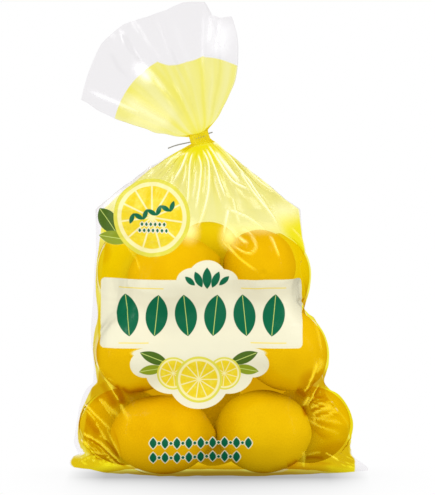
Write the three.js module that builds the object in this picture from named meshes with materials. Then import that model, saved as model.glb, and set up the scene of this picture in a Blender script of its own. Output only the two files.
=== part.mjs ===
// A film bag of lemons, gathered at the neck by a wire tie, with the mouth of the bag fanned out above.
// Millimetres, +Z up, the printed side faces -Y. The origin is in the middle of the flat base.
//
// The bag is one closed solid. Up to the shoulders each level of it is the tight outline of the fruit
// at that height, with the bag's two side folds and its bottom corners. Above them it is a tent that
// runs in to the neck, and above the neck it is a thin pleated fan.

import * as THREE from 'three';

const TAU = 2 * Math.PI;
const RAD = Math.PI / 180;

// ---- the fruit: middle, diameter, length, and the heading and rise of the long axis in degrees ----

const LEMONS = [
  // bottom layer
  { at: [-41.5, -27.5, 31.5], dia: 60, length: 81, heading: -4, rise: 0 },
  { at: [34, -24, 33], dia: 63.5, length: 77, heading: 165, rise: 2 },
  { at: [68.5, 31, 34], dia: 59.5, length: 72, heading: -32, rise: 4 },
  { at: [-68.5, 32, 32.5], dia: 59, length: 74, heading: 172, rise: 3 },
  { at: [0, 34, 33], dia: 54, length: 66, heading: 20, rise: 70 },
  // middle layer
  { at: [49, -23, 95.5], dia: 60.5, length: 75, heading: 180, rise: 40 },
  { at: [-60, -22, 92], dia: 62, length: 66, heading: 85, rise: 5 },
  { at: [0, 27, 92], dia: 54, length: 68, heading: 8, rise: 10 },
  // top layer
  { at: [-33, -25, 149.5], dia: 58, length: 75, heading: -4, rise: 20 },
  { at: [-64, 29, 150], dia: 54, length: 70, heading: 78, rise: 80 },
  { at: [31.5, -25, 156.5], dia: 54.5, length: 62, heading: 95, rise: 8 },
  { at: [-9, 30, 161], dia: 52, length: 61, heading: 40, rise: 35 },
  { at: [43, 31, 145], dia: 54, length: 70, heading: 65, rise: 74 },
];
const LEMON_FULLNESS = 0.96;      // a lemon's ends are drawn out, so an ellipsoid is a little shorter
const FILM_STANDOFF = 0.6;        // the film lies this far outside the fruit
const REST_RADIUS = 24;           // corners of the flat triangle in the middle of the base

// ---- the bag's own dimensions ----

const SHOULDER_Z = 198;           // where the side folds end and the tent begins
const SHOULDER_LEFT = -91;
const SHOULDER_RIGHT = 61.5;
const BASE_FILLET = 2;            // the flat base is as wide as the fruit is at this height
const BRIDGE_RADIUS = 45;         // the film bridges a hollow between two lemons with this curve
const SAG_DEPTH = 7;              // most that the film is drawn in between two lemons
const SAG_GAP = 10;               // the gap behind it that gives two thirds of that
const TENT_FROM_Z = 150;          // the tent starts to show between the top lemons
const TENT_SLOPE = 0.47;          // the tent's half depth gained for each mm down from the neck
const TENT_CORE = 0.66;           // width of the tent's rounded middle, as a share of its whole width

// Side folds, as [height, distance from the middle plane], bottom corner first.
const LEFT_FOLD = [
  [0, 84], [3, 100], [5.5, 110.5], [8.5, 111.5], [12, 108.5], [14, 103.5], [18, 106], [23, 108],
  [37, 106.5], [48, 104.5], [58, 101], [64, 98], [68, 93.5], [78, 93.5], [97, 95], [108, 95],
  [130, 93.5], [153, 92.5], [168, 91], [SHOULDER_Z, -SHOULDER_LEFT],
];
const RIGHT_FOLD = [
  [0, 90], [1.5, 113], [4, 113.5], [7, 109], [11, 104], [14, 101], [18, 100], [25, 101],
  [33, 102], [38, 101.5], [43, 99.5], [47, 96.5], [53, 93.5], [58, 90], [62, 86], [65, 80.5],
  [68, 76], [72, 77.5], [77, 80], [84, 81.5], [93, 81.5], [101, 80.5], [112, 76], [123, 69],
  [127, 67.5], [132, 69.5], [146, 69.5], [160, 67.5], [175, 64], [SHOULDER_Z, SHOULDER_RIGHT],
];

const NECK = new THREE.Vector3(-13.5, 0, 252);
const NECK_TILT = 17 * RAD;       // the neck leans to the left
const NECK_HALF_WIDTH = 7.5;
const NECK_HALF_DEPTH = 6.5;
const NECK_HALF_LENGTH = 3;

const PLEATS = 14;                // folds that run down from the neck
const PLEAT_DEPTH = 2.2;
const PLEAT_REACH_Z = 186;        // where the longest ones have died away

// ---- the fan above the neck; its angles are from +X, turning towards +Z ----

const FAN_START = 8;              // distance from the neck point where the fan leaves the neck
const FAN_RIGHT = [43, 75];       // the right edge's angle at the neck and at the mouth, in degrees
const FAN_LEFT = [178, 162];      // the left edge's
const FAN_HALF_DEPTH = [6.5, 3.5];// at the neck and at the mouth
const FAN_EDGE = 0.6;             // half thickness of the two folded edges
// The mouth, as [angle, distance from the neck point]; the step near 85 degrees is a turned-down lip.
const MOUTH = [
  [75, 94], [80, 91], [84, 92], [87.5, 101.5], [97, 102], [105, 98.5], [113, 98.5],
  [124, 102], [136, 101.5], [146, 97.5], [155, 94.5], [162, 93],
];
const FAN_WAVES = [               // pleats of the fan: count over its width, depth at the mouth, phase
  { count: 1.1, depth: 5, phase: 0.4 },
  { count: 3.5, depth: 2.6, phase: 1.9 },
  { count: 7, depth: 1.1, phase: 0.2 },
];

// ---- the tie ----

const WIRE_RADIUS = 0.55;
const WIRE_GAP = 0.35;
const TIE_LEFT_TAIL = 25;         // tip to the neck's axis
const TIE_RIGHT_TAIL = 11;
const TIE_RISE = 1.8;             // how far the wire climbs in its one turn

// ---- how finely the surfaces are divided ----

const AROUND = 84;
const OUTLINE_DIRECTIONS = 120;
const SAMPLE_STEP = 3;            // spacing of the heights where the fruit's outline is worked out
const SAMPLE_MARGIN = 48;         // how far they run below the base and above the shoulders
const LEVELS = [
  0, 1.5, 4, 6.5, 9, 12, 16, 21, 27, 34, 41, 48, 55, 61, 67, 73, 80, 89, 98,
  107, 116, 125, 134, 143, 152, 161, 170, 179, 188,
];
const TENT_ROWS = 9;
const FAN_ROWS = 10;

// ---- helpers ----

const lerp = (a, b, t) => a + (b - a) * t;
const smooth = (low, high, x) => THREE.MathUtils.smoothstep(x, low, high);

// Value at x on the straight pieces between the [x, value] points.
function along(points, x) {
  if (x <= points[0][0]) return points[0][1];
  for (let i = 1; i < points.length; i++) {
    const [x0, y0] = points[i - 1];
    const [x1, y1] = points[i];
    if (x <= x1) return lerp(y0, y1, (x - x0) / (x1 - x0));
  }
  return points[points.length - 1][1];
}

// ---- the outline of the fruit, level by level ----

const directions = Array.from({ length: OUTLINE_DIRECTIONS }, (_, i) => {
  const angle = (TAU * i) / OUTLINE_DIRECTIONS;
  return [Math.cos(angle), Math.sin(angle)];
});

// The level slice of a lemon at height z, as an ellipse: its middle, and the matrix xx, xy, yy
// whose product with a direction on both sides is the square of its reach that way.
function slice(lemon, z) {
  const heading = lemon.heading * RAD;
  const rise = lemon.rise * RAD;
  const axis = new THREE.Vector3(
    Math.cos(heading) * Math.cos(rise), Math.sin(heading) * Math.cos(rise), Math.sin(rise));
  const round = (lemon.dia / 2 + FILM_STANDOFF) ** 2;
  const stretch = ((lemon.length / 2) * LEMON_FULLNESS + FILM_STANDOFF) ** 2 - round;
  const zz = round + stretch * axis.z ** 2;
  const lean = (stretch * axis.z) / zz;
  const dz = z - lemon.at[2];
  const left = 1 - dz ** 2 / zz;
  if (left <= 0) return null;
  return {
    x: lemon.at[0] + lean * axis.x * dz,
    y: lemon.at[1] + lean * axis.y * dz,
    xx: left * (round + (stretch - lean ** 2 * zz) * axis.x ** 2),
    xy: left * (stretch - lean ** 2 * zz) * axis.x * axis.y,
    yy: left * (round + (stretch - lean ** 2 * zz) * axis.y ** 2),
  };
}

const slicesAt = (z) => LEMONS.map((lemon) => slice(lemon, z)).filter((s) => s !== null);

// How far the slices at one height reach in the level direction (nx, ny).
function reachOf(slices, nx, ny) {
  return Math.max(...slices.map((s) =>
    s.x * nx + s.y * ny + Math.sqrt(s.xx * nx * nx + 2 * s.xy * nx * ny + s.yy * ny * ny)));
}

// Where a ray from (x, 0) along the unit direction (dx, dy) last leaves the slices, or 0.
function rayThrough(slices, x, dx, dy) {
  let farthest = 0;
  for (const s of slices) {
    const area = s.xx * s.yy - s.xy ** 2;
    const form = (ax, ay, bx, by) => (s.yy * ax * bx - s.xy * (ax * by + ay * bx) + s.xx * ay * by) / area;
    const [ox, oy] = [x - s.x, -s.y];
    const a = form(dx, dy, dx, dy);
    const b = form(ox, oy, dx, dy);
    const inside = b * b - a * (form(ox, oy, ox, oy) - 1);
    if (inside > 0) farthest = Math.max(farthest, (Math.sqrt(inside) - b) / a);
  }
  return farthest;
}

// Closes the hollows of a profile over height with a curve of BRIDGE_RADIUS.
function bridge(profile) {
  const drop = (i, j) => ((i - j) * SAMPLE_STEP) ** 2 / (2 * BRIDGE_RADIUS);
  const raised = profile.map((_, i) => Math.max(...profile.map((v, j) => v - drop(i, j))));
  return profile.map((_, i) => Math.min(...raised.map((v, j) => v + drop(i, j))));
}

// The heights run past the fruit at both ends, so that the bridged profile still closes in there.
const sampleCount = Math.round((SHOULDER_Z + 2 * SAMPLE_MARGIN) / SAMPLE_STEP) + 1;
const sampleSlices = Array.from({ length: sampleCount }, (_, i) =>
  slicesAt(i * SAMPLE_STEP - SAMPLE_MARGIN));
const fruitProfiles = directions.map(([nx, ny]) => {
  const reach = sampleSlices.map((slices) => reachOf(slices, nx, ny));
  return bridge(reach);
});

function fruitReach(direction, z) {
  const at = (Math.max(z, BASE_FILLET) + SAMPLE_MARGIN) / SAMPLE_STEP;
  const low = Math.floor(at);
  return lerp(fruitProfiles[direction][low], fruitProfiles[direction][low + 1], at - low);
}

// ---- one row of the bag ----

// A row spans from its left point to its right point, and may be tilted like the neck. Here it is
// worked out as directions in its own plane and the film's reach along each of them.
function makeRow(left, right, halfDepth, core, fruitZ) {
  const middle = left.clone().add(right).multiplyScalar(0.5);
  const half = left.distanceTo(right) / 2;
  const tilt = Math.atan2(right.z - left.z, right.x - left.x);
  const reaches = directions.map(([nx, ny], i) => {
    const fold = half * Math.abs(nx);
    const tent = halfDepth > 0 ? Math.hypot(core * half * nx, halfDepth * ny) : 0;
    const fruit = fruitZ === null ? 0 : fruitReach(i, fruitZ) - middle.x * nx;
    return Math.max(fold, tent, fruit);
  });
  const depth = Math.max(...reaches.filter((_, i) => Math.abs(directions[i][1]) > 0.99));
  const spokes = Array.from({ length: AROUND }, (_, i) => {
    const turn = (TAU * i) / AROUND;
    const across = half * Math.cos(turn);
    const deep = -depth * Math.sin(turn);
    const size = Math.hypot(across, deep);
    const [dx, dy] = [across / size, deep / size];
    let reach = Infinity;
    directions.forEach(([nx, ny], j) => {
      const facing = nx * dx + ny * dy;
      if (facing > 0.05) reach = Math.min(reach, reaches[j] / facing);
    });
    return { turn, dx, dy, reach };
  });
  return { middle, half, tilt, spokes };
}

// Between the fruit the film is drawn in a little, most where the gap behind it is deepest. A fold
// that stands out past the fruit keeps its place.
function sagFilm(row, z) {
  const slices = slicesAt(z);
  const held = smooth(3, 18, z) * (1 - smooth(168, SHOULDER_Z, z));
  const sags = row.spokes.map(({ turn, dx, dy, reach }) => {
    const gap = Math.max(reach - rayThrough(slices, row.middle.x, dx, dy) - FILM_STANDOFF, 0);
    const side = dx > 0 ? 0 : OUTLINE_DIRECTIONS / 2;
    const fruit = fruitReach(side, z) - row.middle.x * directions[side][0];
    const pinned = smooth(-2, 1, row.half - fruit) * Math.max(0, 1 - 1.6 * Math.abs(Math.sin(turn)));
    return held * SAG_DEPTH * (1 - Math.exp(-gap / SAG_GAP)) * (1 - pinned);
  });
  row.spokes.forEach((spoke, i) => {
    const near = (n) => sags[(i + n + AROUND) % AROUND];
    spoke.reach -= 0.4 * near(0) + 0.2 * (near(-1) + near(1)) + 0.1 * (near(-2) + near(2));
  });
  return row;
}

function rowPoints({ middle, tilt, spokes }, pleat) {
  return spokes.map(({ turn, dx, dy, reach }) => {
    const out = reach + pleat * Math.cos(PLEATS * turn + 0.9 * Math.sin(2 * turn));
    return new THREE.Vector3(
      middle.x + out * dx * Math.cos(tilt), out * dy, middle.z + out * dx * Math.sin(tilt));
  });
}

const tentDepth = (z) => NECK_HALF_DEPTH + TENT_SLOPE * (NECK.z - z);
const pleatDepth = (z) => PLEAT_DEPTH * smooth(PLEAT_REACH_Z, 236, z) * (1 - 0.7 * smooth(238, 252, z));

function bodyRow(z) {
  const left = new THREE.Vector3(-along(LEFT_FOLD, z), 0, z);
  const right = new THREE.Vector3(along(RIGHT_FOLD, z), 0, z);
  const depth = z > TENT_FROM_Z ? tentDepth(z) * smooth(TENT_FROM_Z, TENT_FROM_Z + 12, z) : 0;
  return rowPoints(sagFilm(makeRow(left, right, depth, TENT_CORE, z), z), pleatDepth(z));
}

// A point of the neck: across and up are measured in the neck's own leaning frame.
function neckPoint(across, y, up) {
  return new THREE.Vector3(
    NECK.x + across * Math.cos(NECK_TILT) - up * Math.sin(NECK_TILT),
    y,
    NECK.z + across * Math.sin(NECK_TILT) + up * Math.cos(NECK_TILT),
  );
}

function tentRow(t) {
  const left = new THREE.Vector3(SHOULDER_LEFT, 0, SHOULDER_Z)
    .lerp(neckPoint(-NECK_HALF_WIDTH, 0, -NECK_HALF_LENGTH), t);
  const right = new THREE.Vector3(SHOULDER_RIGHT, 0, SHOULDER_Z)
    .lerp(neckPoint(NECK_HALF_WIDTH, 0, -NECK_HALF_LENGTH), t);
  left.z += 4 * Math.sin(Math.PI * t);    // the left shoulder is a little fuller
  const depth = lerp(tentDepth(SHOULDER_Z), NECK_HALF_DEPTH, t);
  const row = makeRow(left, right, depth, lerp(TENT_CORE, 1, t * t), null);
  return rowPoints(row, pleatDepth(row.middle.z));
}

function neckRow(up) {
  const left = neckPoint(-NECK_HALF_WIDTH, 0, up);
  const right = neckPoint(NECK_HALF_WIDTH, 0, up);
  return rowPoints(makeRow(left, right, NECK_HALF_DEPTH, 1, null), pleatDepth(NECK.z));
}

function fanRow(t) {
  const right = lerp(FAN_RIGHT[0], FAN_RIGHT[1], t) * RAD;
  const left = lerp(FAN_LEFT[0], FAN_LEFT[1], t) * RAD;
  const middle = (left + right) / 2;
  const half = (left - right) / 2;
  const flat = 1 - smooth(0, 0.25, t);    // the fan starts as the neck's straight row
  const row = [];
  for (let i = 0; i < AROUND; i++) {
    const turn = (TAU * i) / AROUND;
    const side = Math.cos(turn);
    const off = -half * side;
    const mouthAngle = lerp(FAN_RIGHT[1], FAN_LEFT[1], (1 - side) / 2);
    const radius = lerp(FAN_START, along(MOUTH, mouthAngle), t);
    const outward = radius * lerp(Math.cos(off), Math.cos(half), flat);
    const sideways = radius * Math.sin(off);
    const wave = FAN_WAVES.reduce((sum, w) =>
      sum + w.depth * Math.sin(w.count * Math.PI * side + w.phase), 0) * t;
    const fade = 1 - side * side;
    const thick = lerp(FAN_HALF_DEPTH[0], FAN_HALF_DEPTH[1], smooth(0, 0.4, t));
    const y = wave * lerp(0.35, 1, fade) - Math.sin(turn) * thick
      - Math.sign(Math.sin(turn)) * FAN_EDGE * smooth(0, 0.2, t);
    row.push(new THREE.Vector3(
      NECK.x + outward * Math.cos(middle) - sideways * Math.sin(middle),
      y,
      NECK.z + outward * Math.sin(middle) + sideways * Math.cos(middle),
    ));
  }
  return row;
}

// ---- the bag ----

// Joins the rows into one surface, open at the base and closed along the mouth.
function loft(rows) {
  const faces = [];
  for (let k = 0; k + 1 < rows.length; k++) {
    for (let i = 0; i < AROUND; i++) {
      const a = k * AROUND + i;
      const b = k * AROUND + ((i + 1) % AROUND);
      faces.push([a, a + AROUND, b + AROUND], [a, b + AROUND, b]);
    }
  }
  const mouth = (rows.length - 1) * AROUND;
  for (let i = 0; i < AROUND / 2; i++) {
    const front = [mouth + i, mouth + i + 1];
    const back = [mouth + ((AROUND - i) % AROUND), mouth + AROUND - i - 1];
    if (front[0] !== back[0]) faces.push([front[0], back[0], back[1]]);
    if (front[1] !== back[1]) faces.push([front[0], back[1], front[1]]);
  }
  return { points: rows.flat(), faces };
}

// The base is flat, with one plain triangle in its middle for the bag to rest on. Each point of
// the first row runs in to the corner of the triangle that it faces.
function addBase(shell) {
  const start = shell.points.length;
  for (let k = 0; k < 3; k++) {
    const turn = (TAU * (k + 0.5)) / 3;
    shell.points.push(new THREE.Vector3(REST_RADIUS * Math.cos(turn), -REST_RADIUS * Math.sin(turn), 0));
  }
  const corner = (i) => start + Math.floor((3 * i) / AROUND);
  for (let i = 0; i < AROUND; i++) {
    const next = (i + 1) % AROUND;
    shell.faces.push([i, next, corner(i)]);
    if (corner(next) !== corner(i)) shell.faces.push([next, corner(next), corner(i)]);
  }
  shell.faces.push([start, start + 1, start + 2]);
}

function toGeometry({ points, faces }) {
  const geometry = new THREE.BufferGeometry();
  geometry.setAttribute('position', new THREE.Float32BufferAttribute(points.flatMap((p) => p.toArray()), 3));
  geometry.setIndex(faces.flat());
  geometry.computeVertexNormals();
  return geometry;
}

function makeBag() {
  const rows = LEVELS.map(bodyRow);
  for (let i = 0; i < TENT_ROWS; i++) rows.push(tentRow(i / TENT_ROWS));
  rows.push(neckRow(-NECK_HALF_LENGTH), neckRow(0), neckRow(NECK_HALF_LENGTH));
  for (let i = 1; i <= FAN_ROWS; i++) rows.push(fanRow((i / FAN_ROWS) ** 1.25));
  const shell = loft(rows);
  addBase(shell);
  return toGeometry(shell);
}

// ---- the tie: in from the left, once round the neck, and out to the right ----

function makeTie() {
  const reachX = NECK_HALF_WIDTH + PLEAT_DEPTH * 0.3 + WIRE_GAP + WIRE_RADIUS;
  const reachY = NECK_HALF_DEPTH + PLEAT_DEPTH * 0.3 + WIRE_GAP + WIRE_RADIUS;
  const path = [neckPoint(-TIE_LEFT_TAIL, -reachY, -TIE_RISE / 2)];
  path.push(neckPoint(-TIE_LEFT_TAIL * 0.6, -reachY, -TIE_RISE / 2));
  const turnSteps = 24;
  for (let i = 0; i <= turnSteps; i++) {
    const turn = (TAU * i) / turnSteps;
    path.push(neckPoint(reachX * Math.sin(turn), -reachY * Math.cos(turn), TIE_RISE * (i / turnSteps - 0.5)));
  }
  path.push(neckPoint(TIE_RIGHT_TAIL, -reachY, TIE_RISE / 2));
  const section = new THREE.Shape();
  section.absarc(0, 0, WIRE_RADIUS, 0, TAU);
  return new THREE.ExtrudeGeometry(section, {
    curveSegments: 4,
    steps: 56,
    extrudePath: new THREE.CatmullRomCurve3(path, false, 'centripetal'),
  });
}

// ---- the object ----

function makeMesh(name, geometry, material) {
  const mesh = new THREE.Mesh(geometry, material);
  mesh.name = name;
  return mesh;
}

const film = new THREE.MeshStandardMaterial({ color: 0xe2b414, roughness: 0.2, metalness: 0 });
const wire = new THREE.MeshStandardMaterial({ color: 0x6d6a5c, roughness: 0.45, metalness: 0.1 });

const bagOfLemons = new THREE.Group();
bagOfLemons.name = 'bag_of_lemons';
bagOfLemons.add(makeMesh('bag', makeBag(), film), makeMesh('twist_tie', makeTie(), wire));

export default bagOfLemons;
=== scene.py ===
import math

import bmesh
import bpy
import numpy as np
from bpy.props import FloatProperty, FloatVectorProperty, IntProperty, PointerProperty
from mathutils import Euler, Matrix, Vector


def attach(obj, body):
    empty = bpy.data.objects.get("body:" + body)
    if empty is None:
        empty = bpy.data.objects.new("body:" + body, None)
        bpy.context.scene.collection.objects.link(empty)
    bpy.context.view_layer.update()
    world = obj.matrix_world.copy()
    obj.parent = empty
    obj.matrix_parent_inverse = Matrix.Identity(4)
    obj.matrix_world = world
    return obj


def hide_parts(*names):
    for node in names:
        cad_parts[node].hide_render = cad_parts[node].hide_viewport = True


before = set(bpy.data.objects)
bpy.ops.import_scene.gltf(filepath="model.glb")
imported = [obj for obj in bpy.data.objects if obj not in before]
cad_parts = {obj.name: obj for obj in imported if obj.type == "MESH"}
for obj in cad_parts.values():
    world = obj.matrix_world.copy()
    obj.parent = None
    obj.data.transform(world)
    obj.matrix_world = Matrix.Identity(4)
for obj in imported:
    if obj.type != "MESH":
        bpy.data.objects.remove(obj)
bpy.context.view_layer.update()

bl_info = {
    "name": "Bag of Lemons",
    "version": (1, 0, 0),
    "blender": (4, 5, 0),
    "location": "View3D > Sidebar > Lemons",
    "description": "A tinted film bag of lemons, gathered by a wire tie",
    "category": "Add Mesh",
}

MM = 0.001
TAU = 2 * math.pi
RAD = math.pi / 180

# ---------------------------------------------------------------------------------------------
# Sizes shared with the construction model, in millimetres
# ---------------------------------------------------------------------------------------------

# Each lemon: middle x, y, z, diameter, length, heading and rise of its long axis in degrees.
LEMONS = np.array([
    (-41.5, -27.5, 31.5, 60, 81, -4, 0),
    (34, -24, 33, 63.5, 77, 165, 2),
    (68.5, 31, 34, 59.5, 72, -32, 4),
    (-68.5, 32, 32.5, 59, 74, 172, 3),
    (0, 34, 33, 54, 66, 20, 70),
    (49, -23, 95.5, 60.5, 75, 180, 40),
    (-60, -22, 92, 62, 66, 85, 5),
    (0, 27, 92, 54, 68, 8, 10),
    (-33, -25, 149.5, 58, 75, -4, 20),
    (-64, 29, 150, 54, 70, 78, 80),
    (31.5, -25, 156.5, 54.5, 62, 95, 8),
    (-9, 30, 161, 52, 61, 40, 35),
    (43, 31, 145, 54, 70, 65, 74),
], dtype=float)
# How far each lemon's peel goes from golden to greenish yellow. The back lemons, the top ones most, are
# set yellower: partly as lemons vary, partly as painted sheen for light the slack film scatters over them.
LEMON_TONES = np.array([0, 0.35, 0.3, 0.3, 0.2, 0.25, 0.25, 0.4, 0.15, 1, 0.1, 1, 1])
LEMON_FULLNESS = 0.96       # a lemon's ends are drawn out, so an ellipsoid is a little shorter
FILM_STANDOFF = 0.6         # the film lies this far outside the fruit

SHOULDER_Z = 198            # where the side folds end and the tent begins
SHOULDER_LEFT = -91
SHOULDER_RIGHT = 61.5
BASE_FILLET = 2             # the base is as wide as the fruit is at this height
BRIDGE_RADIUS = 45          # the film bridges a hollow between two lemons with this curve
SAG_DEPTH = 7               # most that the film is drawn in between two lemons
SAG_GAP = 10                # the gap behind it that gives two thirds of that
TENT_FROM_Z = 150           # the tent starts to show between the top lemons
TENT_SLOPE = 0.47           # the tent's half depth gained for each millimetre down from the neck
TENT_CORE = 0.66            # width of the tent's rounded middle, as a share of its whole width

# Side folds, as (height, distance from the middle plane), bottom corner first.
LEFT_FOLD = (
    (0, 84), (3, 100), (5.5, 110.5), (8.5, 111.5), (12, 108.5), (14, 103.5), (18, 106), (23, 108),
    (37, 106.5), (48, 104.5), (58, 101), (64, 98), (68, 93.5), (78, 93.5), (97, 95), (108, 95),
    (130, 93.5), (153, 92.5), (168, 91), (SHOULDER_Z, -SHOULDER_LEFT),
)
RIGHT_FOLD = (
    (0, 90), (1.5, 113), (4, 113.5), (7, 109), (11, 104), (14, 101), (18, 100), (25, 101),
    (33, 102), (38, 101.5), (43, 99.5), (47, 96.5), (53, 93.5), (58, 90), (62, 86), (65, 80.5),
    (68, 76), (72, 77.5), (77, 80), (84, 81.5), (93, 81.5), (101, 80.5), (112, 76), (123, 69),
    (127, 67.5), (132, 69.5), (146, 69.5), (160, 67.5), (175, 64), (SHOULDER_Z, SHOULDER_RIGHT),
)

NECK = (-13.5, 0.0, 252.0)
NECK_TILT = 17 * RAD
NECK_HALF_WIDTH = 7.5
NECK_HALF_DEPTH = 6.5
NECK_HALF_LENGTH = 3

FAN_START = 8               # distance from the neck's middle where the fan leaves the neck
FAN_RIGHT = (43, 75)        # the right edge's angle at the neck and at the mouth, in degrees
FAN_LEFT = (178, 162)
FAN_HALF_DEPTH = (6.5, 3.5)
FAN_EDGE = 0.6              # half thickness of the two folded edges
# The mouth of the bag, as (angle about the neck, distance from it).
MOUTH = (
    (75, 94), (80, 91), (84, 92), (87.5, 101.5), (97, 102), (105, 98.5), (113, 98.5),
    (124, 102), (136, 101.5), (146, 97.5), (155, 94.5), (162, 93),
)

TIE_LEFT_TAIL = 25          # tip to the neck's axis
TIE_RIGHT_TAIL = 11
TIE_RISE = 1.8              # how far the wire climbs

# ---------------------------------------------------------------------------------------------
# The wire, which is thinner and lies closer to the neck than the construction model's
# ---------------------------------------------------------------------------------------------

WIRE_RADIUS = 0.45
WIRE_TURNS = 1.5
WIRE_STEP = 0.8             # spacing of the points in the two tails
WIRE_INSET = (1.9, 0.4)     # the wire's middle inside the neck's surface, in front and behind
WIRE_SIDE_INSET = 1         # and at the sides

# ---------------------------------------------------------------------------------------------
# How the film is laid out and hangs, in millimetres
# ---------------------------------------------------------------------------------------------

COLUMN_CROWDING = 0.14      # the film's columns crowd towards the middle of the front and the back
FOOT_ROWS = (0, 0.7, 1.5)   # heights of the lowest rows
FIRST_BODY_ROW = 2.4
OUTLINE_DIRECTIONS = 180
PROFILE_STEP = 2.0          # spacing of the heights where the fruit's outline is worked out
PROFILE_MARGIN = 48         # how far they run below the base and above the shoulders
TENT_BLEND = 12             # height over which the tent's depth sets in
SAG_FADE_Z = 168            # from here up to the shoulders the film stops sagging
FOOT_SAG = 8                # how much more it sags at the foot
FOOT_SAG_FADE = (6, 34)     # the heights between which that dies away
SAG_BLUR = (3.0, 4.0)       # in rows and in columns
FREE_BLUR = 2.0
FREE_GAP = (2, 13)          # gaps at which the film starts to hang free, and hangs quite free
TENT_LEFT_BULGE = 4         # how far the tent's left edge bulges upwards
NECK_ROWS = 7
FAN_ROW_POWER = 1.15        # above 1, the fan's rows lie closer together near the neck
WELD_DISTANCE = 0.01

# ---------------------------------------------------------------------------------------------
# The film's folds, in millimetres
# ---------------------------------------------------------------------------------------------

# Short pleats all round below the neck: turn in degrees from the right fold, the height where they
# die away, and how far they stand out.
SHORT_PLEATS = tuple(
    (13.5 * k + 4 * math.sin(2.3 * k), 214 + 10 * math.sin(1.7 * k + 1), 1.0 + 0.3 * math.sin(3.1 * k))
    for k in range(27)
)
# Long pleats down the back.
BACK_PLEATS = tuple(
    (196 + 21 * k + 4 * math.sin(2.3 * k), 186 + 9 * math.sin(1.7 * k + 1), 1.4 + 0.4 * math.sin(k))
    for k in range(8)
)
PLEAT_WIDTH = 1.5
SHEET_MAP_GIRTH = 300       # what the sheet map counts once round the film, at every height
GATHERS = 23
GATHER_DEPTH = 1.7
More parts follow.
